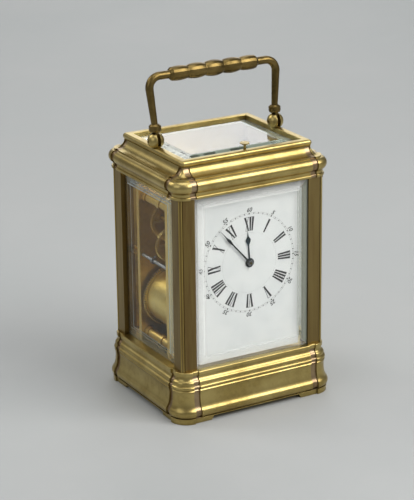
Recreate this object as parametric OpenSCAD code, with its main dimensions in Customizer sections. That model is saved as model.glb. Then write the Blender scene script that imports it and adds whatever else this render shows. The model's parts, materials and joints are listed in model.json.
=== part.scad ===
// Carriage-style mantel clock: a glazed brass case with a moulded base and cornice, a bail handle
// on top, an enamel dial, and an eight-day striking movement with a platform escapement.
// Frame: millimetres, +Z up, front of the clock towards -Y, origin at the middle of the footprint.

/* [Case] */
// Width over the outer faces of the pillars
case_w = 85; // [85:1:110]
// Depth over the outer faces of the pillars
case_d = 72.5; // [72:0.5:95]
// Height of the glazed opening between base plate and cornice
opening_h = 92.85; // [90:0.05:125]
// Side of the square corner pillars
pillar_w = 8.6; // [7.5:0.1:11]
// Radius of the rounded corner columns of base and cornice
corner_r = 5; // [4.8:0.1:5.6]
// Depth by which the flat strip beside each corner column stands back
strip_recess = 0.8; // [0.4:0.1:1.2]

/* [Base] */
// Height of the bracket feet
foot_h = 2.8; // [2:0.1:5]
// Length of each foot's straight part beyond the corner column
foot_len = 6.5; // [4:0.5:12]
// Overhang of the lower torus beyond the pillar faces
torus_out = 5.5; // [4.5:0.1:7]
// Overhang at the narrowest point of the cove
cove_out = 3.2; // [2.6:0.1:4]
// Overhang of the astragal bead
bead_out = 3.9; // [3.4:0.1:4.8]
// Height of the ogee between torus and cove
ogee_h = 9.45; // [7:0.05:16]
// Thickness of the base plate that the pillars and movement stand on
base_plate_t = 2.6; // [2:0.1:4]
// Overhang of the base plate beyond the pillar faces
plate_out = 2.3; // [1.6:0.1:3]
// Thickness of the moulding walls in plan, measured inwards from the pillar faces
base_wall = 8; // [7:0.5:9]

/* [Cornice] */
// Radius of the cornice torus
torus_r = 3.45; // [2.8:0.05:4]
// Radius of the cove above the torus
cove_r = 5.3; // [4:0.1:5.4]
// Width of the half-round rim around the top glass
rim_w = 5.6; // [5:0.1:7]
// Height of the half-round rim
rim_h = 3.35; // [2.6:0.05:5]

/* [Glass] */
// Thickness of the side, top and door glasses
glass_t = 3; // [2:0.1:3.2]
// Thickness of the front glass
front_glass_t = 2; // [1.6:0.1:2.4]
// Width of the bevel around each glass
bevel_w = 6; // [4:0.5:9]
// Thickness left at the edge of a bevelled glass
glass_edge = 1.1; // [0.8:0.1:1.5]
// Depth of the grooves that hold the glasses
groove = 1.1; // [0.8:0.1:1.5]
// Gap around a glass in its groove
glass_gap = 0.1; // [0.05:0.05:0.2]

/* [Handle] */
// Radius of the knuckle balls
ball_r = 4.4; // [4:0.1:5]
// Height of the grip's centre line above the pivot
handle_rise = 33; // [26:0.5:45]
// Angle at which the handle leans back at rest
handle_lean = 5; // [0:1:8]
// Radius of the handle's arms at the elbow
arm_r = 2.15; // [1.8:0.05:2.6]
// Length of the lobed grip
grip_len = 52; // [44:1:56]
// Largest radius of the grip's middle lobe
lobe_r = 4.3; // [3.6:0.1:5]

/* [Dial] */
// Width of the enamel dial plate
dial_w = 60; // [56:0.5:64]
// Gap between the dial plate and the top and bottom of the opening
dial_margin = 0.9; // [0.5:0.1:3]
// Thickness of the dial plate
dial_t = 1.8; // [1.4:0.1:2.4]
// Height of the hands' axis above the middle of the opening
dial_rise = 5.1; // [3:0.1:8]
// Length of the minute hand
minute_len = 27.1; // [22:0.1:28]
// Length of the hour hand
hour_len = 17.6; // [14:0.1:20]

/* [Movement] */
// Gap between the movement plates and the side glasses
plate_side_gap = 1.7; // [1:0.1:3]
// Depth of the movement plates' top edges below the cornice
plate_drop = 6.85; // [5:0.05:12]
// Thickness of the movement plates
plate_t = 2.6; // [2:0.1:3.2]
// Clear distance between the movement plates
plate_gap = 28.4; // [27:0.1:30]
// Radius of the mainspring drums
drum_r = 15.5; // [12.5:0.1:15.6]
// Distance of each barrel from the middle of the movement
barrel_x = 19.6; // [19:0.1:20.5]
// Radius of the balance wheel
balance_r = 7; // [5.5:0.1:7.6]
// Running clearance of every pivot, pin and arbor, on the radius
run_fit = 0.05; // [0.03:0.01:0.08]

/* [Hidden] */

round_fn = 96;
small_fn = 32;
eps = 0.01;
sides = [-1, 1];

// Half-sizes of the case
hx = case_w / 2;
hy = case_d / 2;

// Base heights, from the feet up
torus_drop = 3.1;
cove_rise = 2.95;
base_bead_h = 2.4;
base_groove_h = 0.7;
ovolo_h = 4.05;
z_torus = foot_h + torus_drop;
z_cove = z_torus + ogee_h;
z_bead = z_cove + cove_rise;
z_groove = z_bead + base_bead_h;
z_ovolo = z_groove + base_groove_h;
z_plate = z_ovolo + ovolo_h;
z_floor = z_plate + base_plate_t;
z_roof = z_floor + opening_h;

// Cornice heights, from the opening up
cornice_plate_h = 1.6;
cornice_plate_out = 2.5;
neck_h = 1.7;
neck_out = 1.77;
torus_in = 0.5;
fillet_h = 0.8;
fillet_out = 1.0;
z_neck = z_roof + cornice_plate_h;
z_cornice_torus = z_neck + neck_h + torus_r - 0.15;
z_fillet = z_cornice_torus + torus_r;
z_cornice_cove = z_fillet + fillet_h;
z_rim = z_cornice_cove + cove_r * 0.86;
z_top = z_rim + rim_h;
rim_in = 3.85;
rim_corner_r = 1.65;
rim_x = hx - rim_in;
rim_y = hy - rim_in;
lip = 1.2;
top_glass_z = z_top - 0.9;
well_x = rim_x - rim_w + lip;
well_y = rim_y - rim_w + lip;

clip_t = 1.5;
clip_z = top_glass_z - glass_t - clip_t - 0.05;
clip_screw_y = [-5, 5];
clip_half = 7;
clip_screw_r = 0.5;
clip_screw_len = 3.4;

// Screws that run up through base and pillars, and the tenons on the pillars' tops
case_screw_r = 1.5;
case_screw_head_r = 2.9;
case_screw_head = [4, 6.19];
case_screw_reach = 12;
case_screw_slot = 0.8;
case_bore_r = 1.7;
case_counterbore_r = 3.2;
tenon_peg_r = 1.6;
tenon_peg_h = 5;

// Feet
foot_in = 1;
foot_flare = 0.2;
foot_slant = 1.8;

// Grooves on the pillars' outer corners
ridge_cut = 0.9;
fine_cut = 0.45;
fine_cut_at = 1.5;

// Glazing planes
side_recess = 0.8;
front_recess = 0.25;
pane_x = hx - pillar_w;
pane_y = hy - pillar_w;
side_glass_x = hx - side_recess - glass_t;
front_glass_y = -hy + front_recess + front_glass_t;

// Door
door_t = 3;
door_gap = 0.3;
door_rail = 4.6;
door_y = hy - door_t / 2;
hinge_x = pane_x - door_gap - door_t / 2;
door_z0 = z_floor + door_gap;
door_z1 = z_roof - door_gap;
door_pin_r = 0.9;
door_pin_out = 1.8;

knob_x = -pane_x + door_gap + door_rail / 2;
knob_z = (z_floor + z_roof) / 2 + 2;

// Handle
knuckle_x = rim_x - rim_w / 2;
pivot_z = z_top + 2.9;
pocket_z = z_top - 1.5;
stud_r = 1.0;
stud_len = 3.5;
foot_r = 2.5;
slot_w = 1.9;
tenon_w = 1.7;
tenon_r = 2.1;
pin_r = 0.85;
collar_r = 3.2;
collar_z = ball_r + 0.25;
collar_h = 4;
collar_edge = 0.9;
arm_tilt = 5;
arm_taper = 0.45;
arm_step = 0.02;
arm_lap = 0.3;
elbow_r = 6;
lobes = 5;
lobe_len = grip_len / lobes;
grip_socket = 3;
socket_r = arm_r - 0.7;
lobe_fall = 0.2;
neck_share = 0.78;

// Repeat button
button_y = -rim_y + rim_w - 1.85;
button_r = 0.7;
button_cap_r = 2.5;
button_travel = 1.8;
button_cap_z = z_top + 2.2;
button_bottom = z_roof - 6;
button_foot_h = 0.6;
button_foot_r = 1.3;
leaf_t = 0.4;
leaf_z = button_bottom - button_foot_h - button_travel - 0.1;

// Dial and hands
hand_room = 2;
dial_h = opening_h - 2 * dial_margin;
dial_y = front_glass_y + hand_room;
dial_z = (z_floor + z_roof) / 2;
hands_z = dial_z + dial_rise;
hour_hand_y = dial_y - 0.5;
minute_hand_y = dial_y - 1.1;
hand_t = 0.25;
minute_at = 318.9;
hour_at = 356.3;
hour_pipe_r = 1.9;
cannon_r = 1.15;

dial_post_x = 25;
dial_post_rise = 37;
dial_post_z = [dial_z - dial_post_rise, dial_z + dial_post_rise];

// Movement planes along Y
front_plate_y = -15;
inner_front = front_plate_y + plate_t;
inner_back = inner_front + plate_gap;
back_plate_y = inner_back + plate_t;
plate_w = 2 * (side_glass_x - plate_side_gap);
plate_h = opening_h - plate_drop;
plate_top = z_floor + plate_h;
post_r = 3;
post_screw_r = 1;
post_bore_r = 1.2;
screw_head_h = 1.4;
plate_screw_r = 2.2;
plate_screw_h = 1.2;
plate_screw_slot = 0.5;
plate_screw_reach = 4;
post_foot_gap = 0.2;
foot_screw_head_r = 1.9;
foot_screw_y = 4;
post_x = hx - base_wall - foot_screw_head_r - post_foot_gap;
post_z = [z_floor + 4, plate_top - 6];

// Gear modules and tooth counts
barrel_m = 0.42;
second_m = 0.35;
third_m = 0.32;
barrel_n = 80;
barrel_pinion_n = 13;
inter_n = 64;
centre_pinion_n = 12;
centre_n = 64;
leaf_n = 8;
third_n = 60;
contrate_n = 60;
escape_pinion_n = 6;
strike2_n = 76;
pin_n = 60;
warn_n = 60;
cannon_n = 12;
minute_n = 36;
minute_pinion_n = 10;
hour_n = 40;
cannon_m = 0.4;
hour_m = cannon_m * (cannon_n + minute_n) / (minute_pinion_n + hour_n);
arbor_r = 0.8;
pivot_r = 0.45;

// Arbor places as [x, z]
barrel_drop = 28;
barrel_z = hands_z - barrel_drop;
going_at = [barrel_x, barrel_z];
strike_at = [-barrel_x, barrel_z];
centre_at = [0, hands_z];
first_c = barrel_m * (barrel_n + barrel_pinion_n) / 2;
inter_at = meet(going_at, centre_at, first_c, barrel_m * (inter_n + centre_pinion_n) / 2, -1);
third_at = step(centre_at, second_m * (centre_n + leaf_n) / 2, 60);
contrate_at = step(third_at, third_m * (third_n + leaf_n) / 2, 100);
strike2_at = step(strike_at, first_c, 85.6);
pin_at = step(strike2_at, second_m * (strike2_n + leaf_n) / 2, 117);
warn_at = step(pin_at, third_m * (pin_n + leaf_n) / 2, 84);
fly_at = step(warn_at, third_m * (warn_n + leaf_n) / 2, 20);
minute_at_c = cannon_m * (cannon_n + minute_n) / 2;
minute_wheel_at = step(centre_at, minute_at_c, 0);
hammer_at = [-plate_w / 2 + 2, hands_z - 3.5];
hammer_back = pane_y - 0.85;
hammer_arbor_r = 0.9;
hammer_pivot_r = 0.55;
hammer_boss_r = 1.9;
hammer_boss_h = 3.2;
hammer_tail = 2.4;
hammer_tail_y = [4, 5];
rack_at = [-21, hands_z - 1];
rack_arm = 17;
rack_r = 19.2;
rack_root = 18.2;
rack_inner = 16.4;
rack_teeth = 14;
rack_from = 66;
rack_step = 3.4;
rack_stud_r = 0.9;

click_at = [barrel_x + 6.5, barrel_z + 10.5];
click_r = 1.8;
click_pin_r = 0.85;
click_nose_angle = 55.5;

// Phases that put each pinion in mesh with its driver
inter_phase = mesh(going_at, inter_at, 0, barrel_n, barrel_pinion_n);
centre_phase = mesh(inter_at, centre_at, 0, inter_n, centre_pinion_n);
third_phase = mesh(centre_at, third_at, 0, centre_n, leaf_n);
contrate_phase = mesh(third_at, contrate_at, 0, third_n, leaf_n);
strike2_phase = mesh(strike_at, strike2_at, 0, barrel_n, barrel_pinion_n);
pin_phase = mesh(strike2_at, pin_at, 0, strike2_n, leaf_n);
warn_phase = mesh(pin_at, warn_at, 0, pin_n, leaf_n);
fly_phase = mesh(warn_at, fly_at, 0, warn_n, leaf_n);
minute_phase = mesh(centre_at, minute_wheel_at, 0, cannon_n, minute_n);
hour_phase = mesh(minute_wheel_at, centre_at, 0, minute_pinion_n, hour_n);

// Wheel planes along Y, as [front, back]
great_y = [12.2, 14];
drum_y = [-9, 12.2];
inter_y = [-11.2, -10];
centre_y = [-6, -4.8];
third_y = [2, 3];
contrate_y = [-5, -4];
pin_y = [2, 3];
warn_y = [9.4, 10.2];
fly_y = [-8, 4];
crown_h = 0.9;
contrate_r = 8.6;
ratchet_y = [front_plate_y - 2, front_plate_y - 0.4];
ratchet_n = 24;
ratchet_r = 7.5;
hour_y = [front_plate_y - 5.2, front_plate_y - 4];
snail_y = [hour_y[0] - 1.3, hour_y[0]];
minute_y = [front_plate_y - 2.6, front_plate_y - 1.4];

// Platform escapement
platform_t = 2;
platform_w = 46;
z_platform = plate_top + platform_t;
crown_r = contrate_r * 2 * PI / contrate_n * escape_pinion_n / (2 * PI);
escape_at = [contrate_at[0], contrate_y[1] + crown_h + 0.75];
escape_n = 15;
escape_r = 3.8;
balance_at = [escape_at[0] - 11.5, escape_at[1] + 4];
lever_at = step(escape_at, 5.6, atan2(balance_at[1] - escape_at[1], balance_at[0] - escape_at[0]));
escape_root = 2.9;
escape_rim = 2.3;
escape_hub = 0.9;
escape_t = 0.5;
lever_t = 0.5;
lever_w = 0.8;
pallet_reach = 3.6;
pallet_angle = 100;
z_escape = z_platform + 1.2;
z_lever = z_platform + 1.2;
z_balance = z_platform + 5.2;
cock_len = 11;
cock_rise = 3;
cock_t = 1.2;
balance_rim = 0.9;
timing_screws = 12;
balance_staff_r = 0.6;
spring_r = 4.2;
spring_pitch = 0.5;
spring_turns = 5;
spring_w = 0.16;
spring_h = 0.5;
spring_rise = 1.5;
collet_r = 1.1;
spring_stud_x = 4.85;

// Gong and hammer behind the back plate
gong_y = back_plate_y + 4.2;
gong_turns = 3;
gong_pitch = 1.9;
gong_r = 21.5;
gong_wire = 0.6;
gong_at = [0, hands_z - 11.6];
gong_end_z = gong_at[1] + gong_r - gong_turns * gong_pitch;
head_r = 2.4;
head_at = step(gong_at, gong_r + gong_wire + head_r + 0.8, 195);

gong_block_z = gong_end_z;
gong_block_x = -2.2;

function step(p, r, a) = [p[0] + r * cos(a), p[1] + r * sin(a)];
function dist(p, q) = norm([q[0] - p[0], q[1] - p[1]]);
function bearing(p, q) = atan2(q[1] - p[1], q[0] - p[0]);
// The point at distance a from p and b from q, on the given side of the line p-q
function meet(p, q, a, b, side) =
    let (d = dist(p, q), along = (a * a - b * b + d * d) / (2 * d))
    let (off = side * sqrt(a * a - along * along))
    step(step(p, along, bearing(p, q)), off, bearing(p, q) + 90);
// Phase of a driven gear that puts it in mesh with a driver whose first tooth is at angle a0
function mesh(p, q, a0, n1, n2) =
    let (phi = bearing(p, q)) phi + 180 + 180 / n2 - (a0 - phi) * n1 / n2;
function arc(c, r, a0, a1, n = 10) =
    [for (i = [0:n]) let (a = a0 + (a1 - a0) * i / n) [c[0] + r * cos(a), c[1] + r * sin(a)]];
// A smooth S from [h0, z0] to [h1, z1]
function ogee(h0, z0, h1, z1, n = 12) =
    [for (i = [0:n]) let (t = i / n) [h0 + (h1 - h0) * (1 - cos(180 * t)) / 2, z0 + (z1 - z0) * t]];

// Profiles as [overhang beyond the pillar face, height]
base_profile = concat(
    [[torus_out - 1.2, foot_h]],
    arc([torus_out - torus_drop, z_torus], torus_drop, -65, 0, 8),
    ogee(torus_out, z_torus, cove_out, z_cove),
    arc([cove_out + 6.6, z_cove], 6.6, 180, 157, 5),
    arc([bead_out - base_bead_h / 2, z_bead + base_bead_h / 2], base_bead_h / 2, -60, 60, 8),
    [[cove_out - 0.3, z_groove + 0.1], [cove_out - 0.3, z_ovolo]],
    arc([cove_out - 1.9, z_ovolo + 0.3], 1.9, -5, 60, 6),
    [[1.5, z_plate - 0.8], [1.5, z_plate]]
);
base_plate_profile = concat(
    arc([plate_out - 0.6, z_plate + 0.6], 0.6, -90, 0, 4),
    arc([plate_out - 0.6, z_floor - 0.6], 0.6, 0, 90, 4)
);
cornice_profile = concat(
    arc([cornice_plate_out - 0.5, z_roof + 0.5], 0.5, -90, 0, 4),
    arc([cornice_plate_out - 0.5, z_neck - 0.5], 0.5, 0, 90, 4),
    [[neck_out, z_neck], [neck_out, z_neck + neck_h - 0.2]],
    arc([torus_in, z_cornice_torus], torus_r, -62, 80, 14),
    [[fillet_out, z_fillet], [fillet_out, z_cornice_cove]],
    arc([torus_in, z_cornice_cove + cove_r], cove_r, -90, -164, 10),
    [[-4.62, z_rim]]
);
rim_profile = concat(
    [[-0.3, z_rim]],
    arc([-rim_corner_r, z_rim + rim_corner_r], rim_corner_r, -60, 75, 10),
    [[-rim_w * 0.55, z_top]],
    [[-rim_w + 1.4, z_top - 0.15]]
);

// Draws a 2D shape in the plane of x and z, from y = span[0] to span[1]
module across(span) {
    translate([0, span[1], 0])
        rotate([90, 0, 0])
            linear_extrude(span[1] - span[0])
                children();
}

module rod_y(at, r, span, fn = small_fn) {
    across(span) translate(at) circle(r, $fn = fn);
}

// A spiral in XY from radius r inwards, made of half turns of the 2D section given, centred on the wire
module spiral(r, pitch, turns) {
    for (i = [0:2 * turns - 1])
        translate([0, i % 2 == 0 ? 0 : -pitch / 2, 0])
            rotate([0, 0, i % 2 == 0 ? 90 : -90])
                rotate_extrude(angle = 180, $fn = round_fn)
                    translate([r - i * pitch / 2, 0]) children();
}

module block(x0, x1, y0, y1, z0, z1) {
    translate([x0, y0, z0]) cube([x1 - x0, y1 - y0, z1 - z0]);
}

// One straight run of a moulding along X on the back side, from x0 to x1
module run(profile, face, wall, x0, x1, back) {
    translate([x0, 0, 0])
        rotate([90, 0, 90])
            linear_extrude(x1 - x0)
                polygon([for (p = concat([[-wall, profile[0][1]]], profile,
                        [[-wall, profile[len(profile) - 1][1]]]))
                        [face + p[0] - (p[0] > -wall ? back : 0), p[1]]]);
}

// A moulding carried round a rectangle, with recessed strips beside rounded corner columns
module moulding(profile, ax, ay, r, strip, back, wall) {
    for (turn = [0:3]) {
        half = turn % 2 == 0 ? ax : ay;
        face = turn % 2 == 0 ? ay : ax;
        rotate([0, 0, 90 * turn]) {
            run(profile, face, wall, -half + r + strip, half - r - strip, 0);
            if (strip > 0)
                for (s = sides)
                    run(profile, face, wall, s * (half - r - strip / 2) - strip / 2,
                        s * (half - r - strip / 2) + strip / 2, back);
        }
    }
    for (sx = sides, sy = sides)
        translate([sx * (ax - r), sy * (ay - r), 0])
            rotate([0, 0, sx > 0 ? (sy > 0 ? 0 : -90) : (sy > 0 ? 90 : 180)])
                rotate_extrude(angle = 90, $fn = round_fn)
                    polygon(concat([[0, profile[0][1]]], [for (p = profile) [max(r + p[0], eps), p[1]]],
                        [[0, profile[len(profile) - 1][1]]]));
}

// A bevelled pane, lying in XY with its flat back face at z = 0 and a plain edge for its grooves
module pane(w, h, t) {
    edge = groove + glass_gap;
    translate([-w / 2, -h / 2, 0]) cube([w, h, glass_edge]);
    hull() {
        translate([-w / 2 + edge, -h / 2 + edge, 0]) cube([w - 2 * edge, h - 2 * edge, glass_edge]);
        translate([-w / 2 + edge + bevel_w, -h / 2 + edge + bevel_w, 0])
            cube([w - 2 * (edge + bevel_w), h - 2 * (edge + bevel_w), t]);
    }
}

module gear2d(n, m, phase, thick = 0.42, tip = 0.2, add = 1.2, ded = 1.35) {
    r = n * m / 2;
    pitch = 360 / n;
    polygon([for (i = [0:n - 1], k = [[-0.5, -1], [-thick / 2, -1], [-thick / 2, 0], [-tip / 2, 1],
            [tip / 2, 1], [thick / 2, 0], [thick / 2, -1]])
        let (a = phase + (i + k[0]) * pitch, q = k[1] < 0 ? r - ded * m : (k[1] > 0 ? r + add * m : r))
        [q * cos(a), q * sin(a)]]);
}

// A crossed-out wheel
module wheel2d(n, m, phase, spokes = 4, hub = 2, rim = 1.3) {
    r = n * m / 2 - 1.35 * m - rim;
    difference() {
        gear2d(n, m, phase);
        difference() {
            circle(r, $fn = round_fn);
            circle(hub, $fn = small_fn);
            for (i = [0:spokes - 1])
                rotate(phase + i * 360 / spokes) translate([0, -0.5]) square([r + 1, 1]);
        }
    }
}

module pinion2d(n, m, phase) {
    gear2d(n, m, phase, 0.3, 0.14, 0.9, 1.45);
}

// An arbor between the plates with a pivot at each end
module arbor(at, r = arbor_r, pr = pivot_r) {
    rod_y(at, r, [inner_front + 0.2, inner_back - 0.2]);
    rod_y(at, pr, [front_plate_y + 0.3, back_plate_y - 0.3]);
}

// ---- Case ----

module base_moulding() {
    color([0.62, 0.52, 0.25])
    difference() {
        union() {
            moulding(base_profile, hx, hy, corner_r, pillar_w - corner_r, strip_recess, base_wall);
            for (sx = sides, sy = sides)
                mirror([sx < 0 ? 1 : 0, 0, 0])
                    mirror([0, sy < 0 ? 1 : 0, 0])
                        foot();
        }
        for (sx = sides, sy = sides)
            case_screw_hole(sx, sy);
    }
}

// A bracket foot under the corner at +X +Y: a round corner and two short arms with slanted ends
module foot() {
    out = torus_out - foot_in;
    cx = hx - corner_r;
    cy = hy - corner_r;
    reach = pillar_w - corner_r + foot_len;
    translate([cx, cy, 0])
        rotate_extrude(angle = 90, $fn = round_fn)
            polygon([[0, 0], [corner_r + out, 0], [corner_r + out + foot_flare, foot_h], [0, foot_h]]);
    across([cy, hy + out - strip_recess])
        polygon([[cx, 0], [cx, foot_h], [cx - reach - foot_slant, foot_h], [cx - reach, 0]]);
    translate([cx + corner_r + out - strip_recess, cy, 0])
        rotate([0, -90, 0])
            linear_extrude(corner_r + out - strip_recess)
                polygon([[0, 0], [foot_h, 0], [foot_h, -reach - foot_slant], [0, -reach]]);
}

module case_screw_hole(sx, sy) {
    at = [sx * (hx - pillar_w / 2), sy * (hy - pillar_w / 2), -eps];
    translate(at) cylinder(r = case_counterbore_r, h = case_screw_head[1] + eps, $fn = small_fn);
    translate(at) cylinder(r = case_bore_r, h = z_floor + 1, $fn = small_fn);
}

module case_screws() {
    color([0.45, 0.45, 0.48])
    for (sx = sides, sy = sides)
        translate([sx * (hx - pillar_w / 2), sy * (hy - pillar_w / 2), 0])
            difference() {
                union() {
                    translate([0, 0, case_screw_head[0]])
                        cylinder(r = case_screw_head_r, h = case_screw_head[1] - case_screw_head[0],
                            $fn = small_fn);
                    translate([0, 0, case_screw_head[1] - 0.1])
                        cylinder(r = case_screw_r, h = z_floor + case_screw_reach - case_screw_head[1] + 0.1,
                            $fn = small_fn);
                }
                translate([-case_screw_head_r - 1, -case_screw_slot / 2, case_screw_head[0] - 0.1])
                    cube([2 * case_screw_head_r + 2, case_screw_slot, 1]);
            }
}

module base_plate() {
    color([0.66, 0.55, 0.27])
    difference() {
        union() {
            moulding(base_plate_profile, hx, hy, corner_r, pillar_w - corner_r, strip_recess, base_wall);
            block(-hx + base_wall, hx - base_wall, -hy + base_wall, hy - base_wall, z_plate, z_floor);
        }
        for (sx = sides, sy = sides)
            case_screw_hole(sx, sy);
        glass_slots(z_floor - groove);
        for (x = [-post_x, post_x], y = [-foot_screw_y, foot_screw_y])
            translate([x, y, z_plate - 1])
                cylinder(r = post_screw_r + 0.1, h = base_plate_t + 2, $fn = small_fn);
        translate([hinge_x, door_y, z_floor - door_pin_out])
            cylinder(r = door_pin_r + run_fit, h = door_pin_out + 1, $fn = small_fn);
    }
}

// Grooves in the base plate or the cornice for the front and side glasses, from height z up
module glass_slots(z) {
    w = glass_edge + glass_gap;
    translate([-pane_x - groove - glass_gap, front_glass_y - w + glass_gap / 2, z])
        cube([2 * (pane_x + groove + glass_gap), w, groove + 1]);
    for (s = sides)
        translate([s * (side_glass_x + w / 2 - glass_gap / 2) - w / 2, -pane_y - groove - glass_gap, z])
            cube([w, 2 * (pane_y + groove + glass_gap), groove + 1]);
}

// A pillar at +X +Y with the side glass groove; the front pillars add one for the front glass
module pillar(front) {
    w = glass_edge + glass_gap;
    difference() {
        union() {
            block(hx - pillar_w, hx, hy - pillar_w, hy, z_floor, z_roof);
            translate([hx - pillar_w / 2, hy - pillar_w / 2, z_roof - eps])
                cylinder(r = tenon_peg_r, h = tenon_peg_h, $fn = small_fn);
        }
        translate([hx, hy, z_floor - 1])
            rotate([0, 0, 45])
                cube([ridge_cut, ridge_cut, 2 * opening_h], center = true);
        for (q = [[hx - fine_cut_at, hy], [hx, hy - fine_cut_at]])
            translate([q[0], q[1], (z_floor + z_roof) / 2])
                rotate([0, 0, 45])
                    cube([fine_cut, fine_cut, opening_h + 1], center = true);
        translate([side_glass_x - glass_gap / 2, hy - pillar_w - 1, z_floor - 1])
            cube([w, groove + glass_gap + 1, opening_h + 1.99]);
        if (front)
            translate([hx - pillar_w - 1, -front_glass_y - glass_gap / 2, z_floor - 1])
                cube([groove + glass_gap + 1, w, opening_h + 1.99]);
        translate([hx - pillar_w / 2, hy - pillar_w / 2, z_floor - 1])
            cylinder(r = case_screw_r, h = case_screw_reach + 1.2, $fn = small_fn);
    }
}

module pillar_front_left() color([0.48, 0.38, 0.2]) rotate([0, 0, 180]) pillar(true);
module pillar_front_right() color([0.48, 0.38, 0.2]) mirror([0, 1, 0]) pillar(true);
module pillar_back_left() color([0.48, 0.38, 0.2]) mirror([1, 0, 0]) pillar(false);
module pillar_back_right() color([0.48, 0.38, 0.2]) pillar(false);

module cornice() {
    wall = hx - well_x;
    color([0.68, 0.58, 0.3])
    difference() {
        union() {
            moulding(cornice_profile, hx, hy, corner_r, pillar_w - corner_r, strip_recess, wall);
            moulding(rim_profile, rim_x, rim_y, rim_corner_r, 0, 0, rim_w);
            difference() {
                block(-well_x - 2, well_x + 2, -well_y - 2, well_y + 2, z_cornice_cove, z_rim);
                block(-well_x, well_x, -well_y, well_y, z_cornice_cove - 1, z_rim + 1);
            }
        }
        block(-well_x, well_x, -well_y, well_y, z_roof - 1, top_glass_z);
        glass_slots(z_roof - 1);
        for (sx = sides, sy = sides)
            translate([sx * (hx - pillar_w / 2), sy * (hy - pillar_w / 2), z_roof - 1])
                cylinder(r = tenon_peg_r + run_fit, h = tenon_peg_h + 1.3, $fn = small_fn);
        for (s = sides)
            translate([s * knuckle_x, 0, pocket_z]) {
                cylinder(r = foot_r + run_fit, h = 10, $fn = small_fn);
                translate([0, 0, -stud_len - 0.2]) cylinder(r = stud_r, h = stud_len + 1, $fn = small_fn);
            }
        translate([0, button_y, z_roof]) cylinder(r = button_r + run_fit, h = 40, $fn = small_fn);
        translate([hinge_x, door_y, z_roof - 1])
            cylinder(r = door_pin_r + run_fit, h = door_pin_out + 1, $fn = small_fn);
        for (s = sides, y = clip_screw_y)
            translate([s * (well_x - 1), y, clip_z + clip_t / 2])
                rotate([0, s * 90, 0]) cylinder(r = clip_screw_r, h = clip_screw_len, $fn = small_fn);
    }
}

// ---- Glasses ----

module glass_front() {
    color([0.8, 0.9, 0.88, 0.3])
    translate([0, front_glass_y, (z_floor + z_roof) / 2])
        rotate([90, 0, 0])
            pane(2 * (pane_x + groove), opening_h + 2 * groove - 2 * glass_gap, front_glass_t);
}

module side_glass(s) {
    color([0.8, 0.9, 0.88, 0.3])
    translate([s * side_glass_x, 0, (z_floor + z_roof) / 2])
        rotate([0, 0, s > 0 ? 90 : -90])
            rotate([90, 0, 0])
                pane(2 * (pane_y + groove), opening_h + 2 * groove - 2 * glass_gap, glass_t);
}

module glass_left() side_glass(-1);
module glass_right() side_glass(1);

module glass_top() {
    color([0.8, 0.9, 0.88, 0.3])
    translate([0, 0, top_glass_z - glass_t])
        pane(2 * (well_x - glass_gap), 2 * (well_y - glass_gap), glass_t);
}

// Two brass strips screwed to the cornice's inner walls under the edges of the top glass
module top_glass_clips() {
    color([0.7, 0.6, 0.3])
    for (s = sides)
        mirror([s < 0 ? 1 : 0, 0, 0]) {
            block(well_x - 2.2, well_x - glass_gap, -clip_half, clip_half, clip_z, clip_z + clip_t);
            for (y = clip_screw_y)
                translate([well_x - 2.6, y, clip_z + clip_t / 2])
                    rotate([0, 90, 0]) cylinder(r = clip_screw_r, h = clip_screw_len, $fn = small_fn);
        }
}

// ---- Handle ----

// A ball with a slot for the handle's tenon, a foot in the rim's pocket and a stud below it
module knuckle(s) {
    color([0.7, 0.58, 0.28])
    translate([s * knuckle_x, 0, 0])
        difference() {
            union() {
                intersection() {
                    translate([0, 0, pivot_z]) sphere(ball_r, $fn = round_fn);
                    translate([-10, -10, z_top + 0.05]) cube([20, 20, 20]);
                }
                translate([0, 0, pocket_z]) cylinder(r = foot_r, h = 2.6, $fn = small_fn);
                translate([0, 0, pocket_z - stud_len]) cylinder(r = stud_r, h = stud_len + 1, $fn = small_fn);
            }
            translate([-slot_w / 2, -10, pivot_z - tenon_r - 0.15]) cube([slot_w, 20, 20]);
            translate([-10, 0, pivot_z]) rotate([0, 90, 0]) cylinder(r = pin_r, h = 20, $fn = small_fn);
        }
}

module knuckle_left() knuckle(-1);
module knuckle_right() knuckle(1);

module handle_pins() {
    color([0.6, 0.52, 0.3])
    for (s = sides)
        translate([s * knuckle_x - ball_r + 0.35, 0, pivot_z])
            rotate([0, 90, 0]) cylinder(r = pin_r, h = 2 * ball_r - 0.7, $fn = small_fn);
}

// Everything that leans with the handle, drawn upright
module leaning() {
    translate([0, 0, pivot_z]) rotate([-handle_lean, 0, 0]) children();
}

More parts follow.
